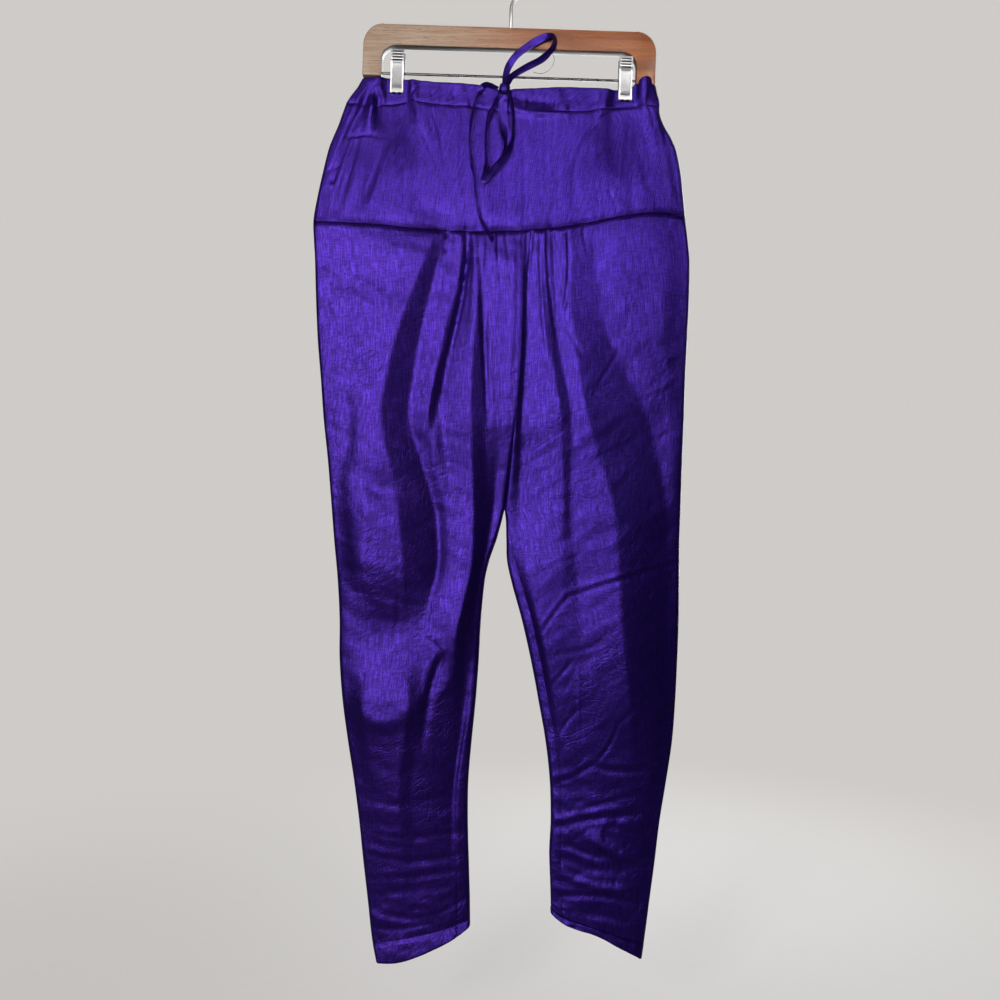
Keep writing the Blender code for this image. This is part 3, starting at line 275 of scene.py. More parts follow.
RIGHT_LEG_CREASES = table(
    CREASE_COLUMNS,
    (70, 905, -0.8, 115, 926, -2.4, 164, 944, -1, 8, 0),
    (68, 944, 1, 118, 953, 2.6, 168, 949, 1.2, 6.5, 0),
    (80, 966, -0.6, 118, 974, -2, 158, 978, -0.8, 7, 0),
    (25, 235, 1.4, 23, 267, 1.1, 20, 299, 0.1, 1.6, 0.4),
    (35, 236, -1.2, 37, 308, -1.7, 46, 397, -0.6, 2.4, 0),
    (42, 235, 1.8, 45, 296, 1.5, 55, 359, 0.2, 1.7, 0.5),
    (52, 235, 1.2, 56, 264, 0.8, 55, 292, 0.1, 1.4, 0.4),
    (65, 235, 1.9, 65, 298, 1.7, 53, 351, 0.3, 1.8, 0.5),
    (84, 225, 1.2, 84, 241, 1, 89, 258, 0.1, 1.8, 0.4),
    (61, 333, 0.2, 71, 353, 1.3, 85, 377, 0.2, 2.6, 0.4),
    (124, 366, 0.2, 111, 389, 1, 97, 413, 0.3, 1.8, 0.3),
    (142, 349, 0.2, 152, 360, 0.7, 165, 372, 0.2, 1.6, 0.3),
    (196, 398, 0.5, 170, 414, 0.9, 142, 424, 0.2, 2, 0.3),
    (192, 455, 0.3, 151, 471, 0.6, 105, 480, 0.2, 2.2, 0.3),
    (195, 606, 0.8, 134, 622, 1.8, 69, 644, 1.2, 2.4, 0.5),
    (69, 644, 1.2, 53, 664, 1.3, 39, 685, 0.4, 2, 0.4),
    (89, 595, 0.2, 69, 602, 0.8, 45, 611, 0.2, 1.6, 0.3),
    (76, 714, 0.3, 64, 729, 1.1, 50, 745, 0.3, 1.8, 0.3),
    (107, 695, 0.2, 82, 704, 0.7, 57, 709, 0.2, 1.8, 0.3),
    (168, 748, 0.3, 144, 768, 0.9, 125, 788, 0.5, 1.8, 0.3),
    (125, 788, 0.6, 113, 816, 1.3, 94, 836, 0.6, 2, 0.4),
    (94, 836, 0.8, 76, 848, 1.3, 55, 856, 0.4, 3.2, 0.4),
    (188, 831, 1.2, 145, 840, 2.2, 97, 834, 0.7, 3.8, 0.4),
    (178, 865, 0.5, 140, 868, 1.3, 86, 886, 0.4, 3.5, 0.3),
    (178, 889, 1.3, 122, 891, 2.9, 59, 905, 1.3, 4.5, 0.4),
    (179, 902, 0.7, 154, 911, 1.6, 122, 900, 0.4, 3.5, 0.3),
    (172, 948, 1, 130, 943, 2.5, 93, 923, 0.4, 4.2, 0.4),
    (67, 925, 0.4, 88, 932, 1.4, 123, 948, 0.4, 3.8, 0.3),
    (64, 948, 0.5, 98, 964, 1.4, 155, 968, 0.5, 3.8, 0.3),
    (64, 984, 0.8, 107, 982, 2.6, 164, 995, 0.9, 4.5, 0.4),
    (59, 969, 0.4, 81, 973, 1.3, 109, 971, 0.3, 3.5, 0.3),
    (71, 998, 0.4, 110, 1005, 1.7, 155, 1016, 0.7, 4.2, 0.4),
    (82, 718, -0.3, 82, 763, -0.6, 82, 811, -0.2, 1.5, 0),
    (58, 809, 0.3, 69, 786, 0.9, 85, 769, 0.2, 1.8, 0.3),
    (131, 877, -0.4, 107, 923, -1, 155, 959, -0.3, 6.4, 0))
BACK_CREASES = table(
    CREASE_COLUMNS,
    (-120, 78, 0.6, -150, 130, 1.6, -196, 200, 0.5, 4, 0.4),
    (-112, 80, 0.6, -96, 120, 1.0, -84, 176, 0.2, 2.6, 0.3),
    (128, 80, 0.6, 150, 128, 1.5, 184, 196, 0.5, 4, 0.4),
    (118, 82, 0.5, 92, 128, 1.0, 80, 180, 0.2, 2.6, 0.3),
    (-58, 225, 1.6, -66, 290, 2.0, -92, 380, 0.4, 4, 0.3),
    (-36, 225, 1.5, -40, 282, 1.4, -52, 350, 0.3, 2.6, 0.3),
    (-14, 225, 1.4, -15, 270, 1.2, -20, 330, 0.2, 2.2, 0.3),
    (38, 222, 1.4, 40, 276, 1.3, 46, 340, 0.2, 2.4, 0.3),
    (58, 221, 1.6, 66, 292, 1.8, 88, 372, 0.4, 3.4, 0.3),
    (80, 220, 1.2, 94, 270, 1.2, 116, 340, 0.2, 3.0, 0.3),
    (-26, 470, 0.6, -76, 520, 2.4, -150, 566, 0.5, 9, 0.2),
    (20, 470, 0.6, 80, 514, 2.2, 150, 570, 0.5, 9, 0.2),
    (-186, 700, 0.8, -120, 716, 2.0, -46, 700, 0.6, 4, 0.4),
    (-182, 742, 0.6, -116, 752, 1.6, -60, 738, 0.4, 3.4, 0.4),
    (40, 716, 0.6, 110, 728, 1.8, 186, 712, 0.6, 4, 0.4),
    (60, 764, 0.4, 120, 772, 1.4, 176, 758, 0.4, 3, 0.4),
    (-172, 850, 0.4, -110, 862, 1.2, -52, 850, 0.3, 3, 0.4),
    (-162, 900, 0.5, -104, 894, 1.5, -48, 908, 0.4, 3, 0.4),
    (-158, 940, 0.4, -100, 950, 1.3, -46, 944, 0.4, 3, 0.4),
    (-152, 984, 0.5, -96, 978, 1.4, -44, 986, 0.4, 3, 0.4),
    (62, 842, 0.5, 116, 830, 1.5, 176, 846, 0.5, 3, 0.4),
    (60, 886, 0.5, 116, 896, 1.8, 172, 884, 0.5, 3, 0.4),
    (60, 930, 0.5, 110, 922, 1.7, 166, 938, 0.5, 3, 0.4),
    (62, 972, 0.5, 108, 980, 1.6, 160, 968, 0.5, 3, 0.4))

# The bow of the drawstring. A route's out is measured from the cloth, a y from the middle plane, and
# a turn is how far the tape is turned about its own run, in degrees, from facing the front.
KNOT = (-7.0, 72.5)
KNOT_HALF = (5.6, 4.4, 5.2)
LOOP_UP = table(
    "x drop y turn",
    (-6.6, 70.0, -16.5, 30), (-5.0, 56, -14.8, 24), (-1.7, 46, -13.5, 18), (6.4, 34.2, -12.5, 12),
    (22.6, 21.5, -12.2, 8), (36.9, 13.7, -12.2, 4), (44.8, 11.4, -12.2, -22), (49.2, 14.0, -12.2, -58),
    (49.6, 19.0, -12.2, -60), (46.3, 26.6, -12.2, -48), (35.1, 38.2, -12.5, -34), (15.1, 49.5, -13.5, -32),
    (1.5, 59.0, -15, -44), (-4.5, 69.6, -17.0, -55))
LOOP_DOWN = table(
    "x drop out turn",
    (-11.5, 77, 4.0, 30), (-16.5, 86.5, 3.4, 48), (-23.6, 100, 3.0, 58), (-26.6, 117, 3.4, 66),
    (-27.2, 138, 3.6, 72), (-26.6, 158, 3.6, 60), (-28.0, 171, 4.4, 40), (-29.0, 177.0, 5.6, 20),
    (-27.0, 176.0, 7.0, 24), (-20.5, 168.5, 7.6, 28), (-12.0, 159, 7.8, 30), (-3.8, 148, 7.6, 40),
    (1.9, 134.5, 6.8, 58), (3.5, 119, 6.4, 68), (3.0, 103.6, 6.0, 66), (1.5, 90.5, 5.6, 58),
    (-2.0, 79, 5.4, 40))
END_SHORT = table(
    "x drop out turn",
    (-8.0, 79.5, 5.6, 0), (-8.6, 90.2, 4.0, 4), (-8.4, 107.5, 3.0, -6), (-6.8, 122.8, 2.8, -34),
    (-5.0, 136, 2.8, -62), (-6.0, 149, 2.6, -44))
END_LONG = table(
    "x drop out turn",
    (-14.5, 72.5, 3.0, -40), (-19.0, 69.6, 2.8, -52), (-25.5, 67.2, 2.8, -56), (-30.6, 68.2, 2.8, -40),
    (-34.4, 74.0, 2.8, 20), (-38.0, 82, 2.8, 60), (-41.6, 92, 2.8, 66), (-43.6, 106, 2.9, 52),
    (-45.3, 123.1, 2.9, 70), (-44.8, 142.2, 2.9, 76), (-42.4, 159.4, 3.0, 60), (-40.1, 172.8, 3.0, 74),
    (-38.9, 185, 3.0, 66), (-37.2, 197, 3.0, 78), (-36.2, 208, 3.0, 84), (-33.0, 219.5, 3.2, 70),
    (-28.6, 229, 3.4, 66), (-23.2, 238, 3.6, 60), (-18.6, 246.0, 4.0, 52))
LOOSE_THREAD = table(
    "x drop y",
    (46.2, 31.5, -14.6), (48.9, 38.1, -14.6), (47.3, 45.8, -13.5), (42.0, 51.6, -12.5),
    (34.3, 54.4, -12), (25.6, 52.8, -11.5))


def ease(share):
    """A share from 0 to 1, with a soft start and end."""
    share = np.clip(share, 0, 1)
    return share * share * (3 - 2 * share)


def between(rows, column, at, key=0):
    """The values of a column at places of the key column, on a smooth curve through the rows."""
    keys = np.array([row[key] for row in rows], float)
    values = np.array([getattr(row, column) for row in rows], float)
    slopes = np.empty_like(values)
    slopes[1:-1] = (values[2:] - values[:-2]) / (keys[2:] - keys[:-2])
    slopes[0] = (values[1] - values[0]) / (keys[1] - keys[0])
    slopes[-1] = (values[-1] - values[-2]) / (keys[-1] - keys[-2])
    at = np.clip(at, keys[0], keys[-1])
    low = np.clip(np.searchsorted(keys, at) - 1, 0, len(keys) - 2)
    span = keys[low + 1] - keys[low]
    t = (at - keys[low]) / span
    return ((2 * t ** 3 - 3 * t ** 2 + 1) * values[low] + (t ** 3 - 2 * t ** 2 + t) * span * slopes[low]
            + (3 * t ** 2 - 2 * t ** 3) * values[low + 1] + (t ** 3 - t ** 2) * span * slopes[low + 1])


def sign_of(side):
    return -1 if side == "left" else 1


def outer_edge(side, drop):
    return between(OUTLINE, side, drop)


def centre_x(drop):
    return between(CENTRE, "x", drop)


def inner_edge(side, drop):
    """The edge of a leg nearest to the other: the centre seam above the crotch, the fold below it."""
    above = centre_x(drop) - sign_of(side) * SEAM_OVERLAP
    return np.where(drop < CROTCH, above, between(INNER_EDGE[side], "x", drop))


def inseam_x(side, drop):
    """The seam on the front of a leg, which runs a little outside the inner fold."""
    return inner_edge(side, drop) + sign_of(side) * between(INSEAM_SHIFT[side], "shift", drop)


def rounded(distance, radius=FOLD_RADIUS):
    """Height of a quarter circle of radius 1, at a distance from its edge."""
    return np.sqrt(1 - (1 - np.clip(distance / radius, 0, 1)) ** 2)


def ripple(u, v, seed):
    """Soft random waves from about -1 to 1, one unit long."""
    count = 61
    angles = np.random.default_rng(seed).uniform(0, 2 * math.pi, (count, count))
    column, row = np.floor(u).astype(int), np.floor(v).astype(int)
    across, down = u - column, v - row

    def corner(right, below):
        angle = angles[(column + right) % count, (row + below) % count]
        return np.cos(angle) * (across - right) + np.sin(angle) * (down - below)

    mix_u, mix_v = ease(across), ease(down)
    top = corner(0, 0) * (1 - mix_u) + corner(1, 0) * mix_u
    bottom = corner(0, 1) * (1 - mix_u) + corner(1, 1) * mix_u
    return 1.6 * (top * (1 - mix_v) + bottom * mix_v)


def pinched(u, v, seed, width=0.12):
    """Thin random creases, -1 along their middles and 0 elsewhere."""
    return -np.clip(1 - abs(ripple(u, v, seed)) / width, 0, 1) ** 1.5


def creased(rows, x, drop):
    """The sum of the listed creases, negative in a trough."""
    total = np.zeros(np.broadcast(x, drop).shape)
    x, drop = np.broadcast_to(x, total.shape), np.broadcast_to(drop, total.shape)
    share = np.linspace(0, 1, 9)
    weights = (1 - share) ** 2, 2 * share * (1 - share), share ** 2
    for row in rows:
        bend_x = 2 * row.x2 - (row.x1 + row.x3) / 2
        bend_drop = 2 * row.drop2 - (row.drop1 + row.drop3) / 2
        bend_deep = 2 * row.deep2 - (row.deep1 + row.deep3) / 2
        path_x = weights[0] * row.x1 + weights[1] * bend_x + weights[2] * row.x3
        path_drop = weights[0] * row.drop1 + weights[1] * bend_drop + weights[2] * row.drop3
        path_deep = weights[0] * row.deep1 + weights[1] * bend_deep + weights[2] * row.deep3
        reach = 3.4 * row.wide
        near = ((x > path_x.min() - reach) & (x < path_x.max() + reach)
                & (drop > path_drop.min() - reach) & (drop < path_drop.max() + reach))
        if not near.any():
            continue
        at_x, at_drop = x[near], drop[near]
        best = np.full(at_x.shape, np.inf)
        signed, deep = np.zeros(at_x.shape), np.zeros(at_x.shape)
        for index in range(len(share) - 1):
            run_x = path_x[index + 1] - path_x[index]
            run_drop = path_drop[index + 1] - path_drop[index]
            along = ((at_x - path_x[index]) * run_x + (at_drop - path_drop[index]) * run_drop)
            along = np.clip(along / (run_x ** 2 + run_drop ** 2), 0, 1)
            off_x = at_x - path_x[index] - along * run_x
            off_drop = at_drop - path_drop[index] - along * run_drop
            away = np.hypot(off_x, off_drop)
            closer = away < best
            best = np.where(closer, away, best)
            signed = np.where(closer, np.sign(run_x * off_drop - run_drop * off_x) * away, signed)
            here = path_deep[index] + along * (path_deep[index + 1] - path_deep[index])
            deep = np.where(closer, here, deep)
        across = signed / row.wide
        total[near] -= deep * (np.exp(-across ** 2) - row.lip * np.exp(-(across - 1.6) ** 2))
    return total


def softly(drop, values):
    """Values along the drops of the pleats' table, with rounded changes."""
    return sum(share * np.interp(drop + step, PLEAT_DROPS, values)
               for step, share in ((-16, 0.25), (0, 0.5), (16, 0.25)))


def front_lift(side, x, drop):
    """How far the folds lift the front of a leg."""
    drop = np.maximum(drop, SEAM_DROP)
    last = PLEAT_DROPS[-1]
    fade = 1 - ease((drop - last) / 150)
    inner, outer = inseam_x(side, last), outer_edge(side, last)
    lower = np.maximum(drop, last)
    now_inner, now_outer = inseam_x(side, lower), outer_edge(side, lower)
    drawn_in = 2.2 * np.exp(-((drop - 450) / 75) ** 2)
    marks = [(inseam_x(side, drop), -0.5 * (1 - ease((drop - LEGS_PART) / 100)) - drawn_in)]
    for row in PLEATS[side]:
        place = softly(drop, row.places)
        carried = now_inner + (place - inner) / (outer - inner) * (now_outer - now_inner)
        place = np.where(drop > last, carried, place)
        marks.append((place, softly(drop, row.lifts) * fade))
    marks.append((outer_edge(side, drop), np.zeros_like(drop)))
    sign, total = sign_of(side), np.zeros(np.broadcast(x, drop).shape)
    for step, share in ((-2.2, 0.25), (0, 0.5), (2.2, 0.25)):
        layer = np.zeros(total.shape)
        for (x_a, lift_a), (x_b, lift_b) in reversed(list(zip(marks, marks[1:]))):
            along = np.clip((x + step - x_a) / (x_b - x_a), 0, 1)
            layer = np.where(sign * (x + step) <= sign * x_b, lift_a + (lift_b - lift_a) * along, layer)
        total = total + share * layer
    return total


def jaw_x(place):
    """Where the jaws of a clip grip, to the left of its place along the tilted rod."""
    return place - CLIP_BOTTOM * math.sin(TILT)


def clip_press(x, drop):
    """1 where a clip presses the layers together, fading to 0 around it."""
    press = np.zeros(np.broadcast(x, drop).shape)
    spread = CLIP_FADE + np.clip(drop - 76, 0, 80) / 2.4
    below = 1 - ease((drop - WAIST_DROP) / 100)
    for place in CLIP_PLACES.values():
        beside = 1 - ease((abs(x - jaw_x(place)) - CLIP_FLAT) / spread)
        press = np.maximum(press, beside * below)
    return press


def turned(x, drop, degrees, length, width):
    """Places along and across threads that lie at an angle, in units of a wave."""
    angle = math.radians(degrees)
    along = x * math.cos(angle) - drop * math.sin(angle)
    across = x * math.sin(angle) + drop * math.cos(angle)
    return along / length, across / width


def crumple(face, side, x, drop):
    """Small random unevenness: upright on the yoke, slanted on the thighs, level near the hems."""
    seed = 10 * (face == "back") + 3 * (side == "right")
    slope = {"left": -24, "right": 32}[side] * (1 if face == "front" else -1)
    upright = 1 - ease((drop - 205) / 30)
    low = ease((drop - 800) / 110)
    middle = 1 - upright - low
    waist = 0.6 * ripple(x / 11, drop / 85, seed + 1) + 1.1 * ripple(x / 36, drop / 75, seed + 2)
    waist += 0.25 * pinched(x / 16, drop / 70, seed + 5, 0.2)
    thigh = 1.1 * ripple(*turned(x, drop, slope, 70, 38), seed + 3)
    thigh += 0.42 * ripple(*turned(x, drop, slope, 34, 12), seed + 4)
    thigh += 0.22 * pinched(*turned(x, drop, slope, 90, 26), seed + 5)
    thigh += 0.16 * pinched(*turned(x, drop, slope + 34, 60, 17), seed + 9, 0.2)
    shin = 1.2 * ripple(*turned(x, drop, 5, 62, 19), seed + 6)
    shin += 0.55 * ripple(*turned(x, drop, -9, 30, 10), seed + 7)
    shin += 0.7 * pinched(*turned(x, drop, 3, 80, 17), seed + 8)
    shin += 0.5 * pinched(*turned(x, drop, -24, 60, 22), seed + 9)
    strength = {"left": 0.75, "right": 1.15}[side]
    return upright * waist + middle * thigh + low * shin * strength


def height(face, side, x, drop):
    """How far the outer face of the cloth lies from the middle plane, folds and creases included."""
    crease_share = bpy.context.scene.salwar_cloth.crease_share
    outer, inner = outer_edge(side, drop), inner_edge(side, drop)
    apart = ease((drop - LEGS_PART) / (CROTCH - LEGS_PART))
    from_outer, from_inner = abs(outer - x), abs(x - inner)
    rim = FOLD_RADIUS * rounded(from_outer) * (1 - apart * (1 - rounded(from_inner)))
    left, right = outer_edge("left", drop), outer_edge("right", drop)
    across = np.clip(abs(2 * (x - left) / (right - left) - 1), 0, 1)
    body = between(BODY_DEPTH, face, drop) * (1 - across ** (2.3 + 2.2 * (1 - ease((drop - 190) / 90))))
    along = np.clip(abs(2 * (x - inner) / (outer - inner) - 1), 0, 1)
    leg = between(LEG_DEPTH, face, drop) * (1 - along ** 2.3)
    total = rim + (1 - apart) * body + apart * leg
    near_edge = ease(from_outer / 26) * (1 - apart * (1 - ease(from_inner / 16)))
    to_edge = rounded(from_outer, 12) * (1 - apart * (1 - rounded(from_inner, 8)))
    if face == "front":
        pleated = 0.35 * ease((drop - 208) / 26) + 0.65 * ease((drop - SEAM_DROP + 4) / 14)
        total = total + near_edge * pleated * FOLD_HEIGHT * front_lift(side, x, drop)
        creases = WAIST_CREASES + (LEFT_LEG_CREASES if side == "left" else RIGHT_LEG_CREASES)
        seam = inseam_x(side, drop)
    else:
        reach = 1 - ease((abs(x - centre_x(drop)) - 66) / 30)
        fade = ease((drop - 198) / 60) * (1 - ease((drop - 300) / 260))
        wave = np.cos(2 * math.pi * (x - centre_x(drop)) / (21 * (1 + (drop - 200) / 500)))
        total = total + near_edge * reach * fade * 1.6 * wave
        creases = BACK_CREASES
        seam = np.where(drop < CROTCH, centre_x(drop), 1e3)
    total = total + crease_share * to_edge * (creased(creases, x, drop) + crumple(face, side, x, drop))
    total = total - (0.8 - 0.45 * apart) * np.exp(-((x - seam) / 1.5) ** 2) * (drop > SEAM_DROP - 8)
    if face == "front":
        lower_part = np.maximum(drop - PUFF_DROP, 0) / PUFF_HEIGHT
        total = total + (FOOT_PUFF * np.exp(-((x - PUFF_X) / PUFF_WIDTH) ** 2 - lower_part ** 2)
                         * rounded(from_outer, 8))
    press = clip_press(x, drop)
    total = total * (1 - press) + PINCH * press
    return np.maximum(total, 0.15 + 0.6 * rounded(from_outer))


def height_across(face, x, drop):
    """The same for places on either side of the centre."""
    x, drop = np.broadcast_arrays(np.asarray(x, float), np.asarray(drop, float))
    return np.where(x < centre_x(drop), height(face, "left", x, drop), height(face, "right", x, drop))


def spots(x, y, drop):
    """Points in metres from x, y and drop in millimetres."""
    x, y, drop = np.broadcast_arrays(x, y, drop)
    return np.stack((x, y, -(HOOK_RISE + drop)), axis=-1) * MM


def spot(x, y, drop):
    return Vector((x, y, -(HOOK_RISE + drop))) * MM


def make_active(piece):
    bpy.ops.object.select_all(action="DESELECT")
    piece.select_set(True)
    bpy.context.view_layer.objects.active = piece


def apply_modifier(piece, kind, **settings):
    """Add a modifier, set it and apply it."""
    make_active(piece)
    modifier = piece.modifiers.new(kind.title(), kind)
    for name, value in settings.items():
        setattr(modifier, name, value)
    bpy.ops.object.modifier_apply(modifier=modifier.name)


def new_piece(name, mesh):
    piece = bpy.data.objects.new(name, mesh)
    bpy.context.scene.collection.objects.link(piece)
    return piece


def finish_piece(piece, finish, nodes=()):
    """Give a piece its material and its place in the frame."""
    piece.data.materials.clear()
    piece.data.materials.append(bpy.data.materials[finish])
    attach(piece, BODY)
    if nodes:
        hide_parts(*nodes)
    return piece


def grid_mesh(name, points, outward, ring=False, along=None):
    """A sheet of quads through rows of points, with a cloth map in metres, facing outwards."""
    rows, columns = points.shape[:2]
    last = columns if ring else columns - 1
    row, column = np.meshgrid(np.arange(rows - 1), np.arange(last), indexing="ij")
    beside = (column + 1) % columns
    quads = np.stack((row * columns + column, row * columns + beside,
                      (row + 1) * columns + beside, (row + 1) * columns + column), axis=-1)
    quads = quads.reshape(-1, 4)
    closed = np.concatenate((points, points[:, :1]), axis=1) if ring else points
    steps = np.linalg.norm(np.diff(closed, axis=1), axis=-1)
    map_u = np.concatenate((np.zeros((rows, 1)), np.cumsum(steps, axis=1)), axis=1)
    if along is None:
        falls = np.linalg.norm(np.diff(points, axis=0), axis=-1).mean(axis=1)
        along = np.concatenate(([0], np.cumsum(falls)))
    map_v = -np.broadcast_to(np.reshape(along, (rows, 1)), map_u.shape)
    flat_map = np.stack((map_u, map_v), axis=-1)
    corners = ((0, 0), (0, 1), (1, 1), (1, 0))
    places = np.stack([flat_map[row + down, column + across] for down, across in corners], axis=2)
    places = places.reshape(-1, 4, 2)
    middle = quads[len(quads) // 2 if not ring else last // 4]
    flat = points.reshape(-1, 3)
    facing = np.cross(flat[middle[1]] - flat[middle[0]], flat[middle[3]] - flat[middle[0]])
    if np.dot(facing, outward) < 0:
        quads, places = quads[:, ::-1], places[:, ::-1]
    mesh = bpy.data.meshes.new(name)
    mesh.from_pydata(flat.tolist(), [], quads.tolist())
    cloth_map = mesh.uv_layers.new(name=CLOTH_MAP)
    cloth_map.data.foreach_set("uv", places.reshape(-1).astype(np.float32))
    mesh.update()
    return mesh


def cloth_piece(name, points, outward, ring=False, along=None):
    """A thin shell of cloth: the sheet of points, with its wall on the inside."""
    piece = new_piece(name, grid_mesh(name, points, outward, ring, along))
    thickness = bpy.context.scene.salwar_cloth.thickness
    apply_modifier(piece, "SOLIDIFY", thickness=thickness, offset=-1.0, use_quality_normals=True)
    piece.data.shade_smooth()
    piece.data.set_sharp_from_angle(angle=math.radians(60))
    return piece


def slanted(side, x, base, face):
    """A row's drop at a place: level in the middle of the leg, slanted to the seams at its ends."""
    near_top = 1 - ease((base - SEAM_DROP) / 150)
    seam = between(YOKE_LINE if face == "front" else BACK_LINE, "drop", x)
    near_hem = ease((base - 880) / (HEM_DROP - 880))
    hem = between(BAND_TOP[side], "drop", x)
    return base + near_top * (seam + GAP / 2 - SEAM_DROP) + near_hem * (hem - GAP / 2 - HEM_DROP)


def leg_points(side):
    """A leg's outer points: across the front, round the side fold, across the back, round the inseam."""
    sign = sign_of(side)
    base = np.concatenate((np.linspace(SEAM_DROP, 300, 33), np.linspace(300, HEM_DROP, 234)[1:]))[:, None]
    start, edge = inseam_x(side, base), outer_edge(side, base)
    parts = []

    def add(x, face, weight=1.0):
        drop = slanted(side, x, base, face)
        y = height(face, side, x, drop) * weight
        y = np.maximum(y - 1.8 * weight * np.exp(-((base - SEAM_DROP) / 2.4) ** 2), 0)
        parts.append(spots(x, -y if face == "front" else y, drop))

    front_edge = outer_edge(side, slanted(side, edge, base, "front"))
    back_edge = outer_edge(side, slanted(side, edge, base, "back"))
    share = np.linspace(0, 1, 97)[None, :] ** 1.22
    add(start + share * (front_edge - sign * FOLD_RADIUS - start), "front")
    angle = np.radians(np.array((70.0, 47.0, 24.0)))[None, :]
    add(front_edge - sign * FOLD_RADIUS * (1 - np.cos(angle)), "front")
    add(front_edge + 0 * angle[:, :1], "front", 0.0)
    angle = angle[:, ::-1]
    add(back_edge - sign * FOLD_RADIUS * (1 - np.cos(angle)), "back")
    inner = inner_edge(side, base)
    share = np.linspace(0, 1, 45)[None, :]
    from_x, to_x = back_edge - sign * FOLD_RADIUS, inner + sign * 9
    add(from_x + share * (to_x - from_x), "back")
    body = np.concatenate(parts, axis=1)
    parts.clear()
    turn = np.linspace(0, 1, 13)[None, :]
    add(inner + sign * 9 * (1 - turn) ** 2, "back")
    shift = np.maximum(between(INSEAM_SHIFT[side], "shift", base) - GAP, 0)
    add(inner + sign * shift * turn[:, 1:] ** 2, "front")
    wrapped = np.concatenate(parts, axis=1)
    count = 15
    ends = np.empty((len(base), count, 3))
    for index, path in enumerate(wrapped):
        if base[index, 0] < CROTCH:
            path = path[:13]
        lengths = np.concatenate(([0], np.cumsum(np.linalg.norm(np.diff(path, axis=0), axis=1))))
        targets = np.linspace(0, lengths[-1], count)
        for axis in range(3):
            ends[index, :, axis] = np.interp(targets, lengths, path[:, axis])
    return np.concatenate((body, ends[:, 1:]), axis=1), base[:, 0] * MM


def panel_marks(count):
    """Where the columns of a waist panel stand at the waist, closer together near its two sides."""
    left, right = outer_edge("left", WAIST_DROP), outer_edge("right", WAIST_DROP)
    near = np.array((0, 0.2, 0.7, 1.5, 2.7, 4.2, 6.2))
    return np.concatenate((left + near, np.linspace(left + 8.4, right - 8.4, count), right - near[::-1]))


def column_x(mark, drop):
    """A column's x at a drop: level with its mark, but the outer ones follow the outline."""
    side_share = []
    for side in ("left", "right"):
        limit = sign_of(side) * UPRIGHT
        share = (mark - limit) / (outer_edge(side, WAIST_DROP) - limit)
        side_share.append(limit + share * (outer_edge(side, drop) - limit))
    return np.where(mark < -UPRIGHT, side_share[0], np.where(mark > UPRIGHT, side_share[1], mark))


def panel_places(upper, lower, shares, marks):
    """The x and drop of a panel's points, between two lines right across the front or back."""
    drop = np.full((len(shares), len(marks)), WAIST_DROP)
    for _ in range(4):
        x = column_x(marks[None, :], drop)
        drop = upper(x) + shares * (lower(x) - upper(x))
    return column_x(marks[None, :], drop), drop


def back_edge_drop(x):
    """The back's upper edge: above the front's between the clips, below the hanger's right foot."""
    rise = BACK_STANDS_UP * (1 - ease((abs(x) - 60) / 45))
    beneath_foot = ease((x - 137) / 5)
    return (between(TOP_EDGE, "drop", x) - rise) * (1 - beneath_foot) + BENEATH_FOOT * beneath_foot


def fold_rows(share):
    """Three rows of points round a fold: how far down, how far turned in and how far past the edge."""
    return [(share, 0.5 - 0.5 * math.cos(math.pi * turn), math.sin(math.pi * turn))
            for turn in (0.25, 0.5, 0.75)]


def columns_of(rows):
    """The columns of a list of rows, each upright, to be set against places across."""
    return (np.array(values)[:, None] for values in zip(*rows))


def casing_points(face):
    """The casing: up the outside, over a soft fold at the top, and down the inside."""
    marks = panel_marks(190)
    upper = (lambda x: between(TOP_EDGE, "drop", x)) if face == "front" else back_edge_drop
    lower = lambda x: between(CASING_LINE, "drop", x) - GAP / 2
    fold, layer = 1.0, 2.0
    rows = [(share, 0.0, 0.0) for share in np.linspace(1, 0, 12)]
    rows += fold_rows(0.0)
    rows += [(share, 1.0, 0.0) for share in (0.0, 0.3, 0.65, 0.97)]
    share, inside, above = columns_of(rows)
    x, drop = panel_places(lambda x: upper(x) + fold, lower, share, marks)
    depth = height_across(face, x, drop)
    free = 1 - clip_press(x, drop)
    seed = 40 if face == "front" else 41
    pucker = 1.2 * ripple(x / 6.5, drop / 24, seed) + 0.7 * ripple(x / 19, drop / 40, seed + 2)
    edge = np.minimum(x - outer_edge("left", drop), outer_edge("right", drop) - x)
    depth = depth + free * ease(edge / 20) * pucker * (0.45 + 0.75 * share)
    seam_dip = 0.8 * np.exp(-((1 - share) * 25 / 1.6) ** 2)
    depth = np.maximum(depth - seam_dip, 0.3)
    depth = depth + inside * (np.maximum(depth * 0.4, depth - layer) - depth)
    return spots(x, -depth if face == "front" else depth, drop - fold * above)


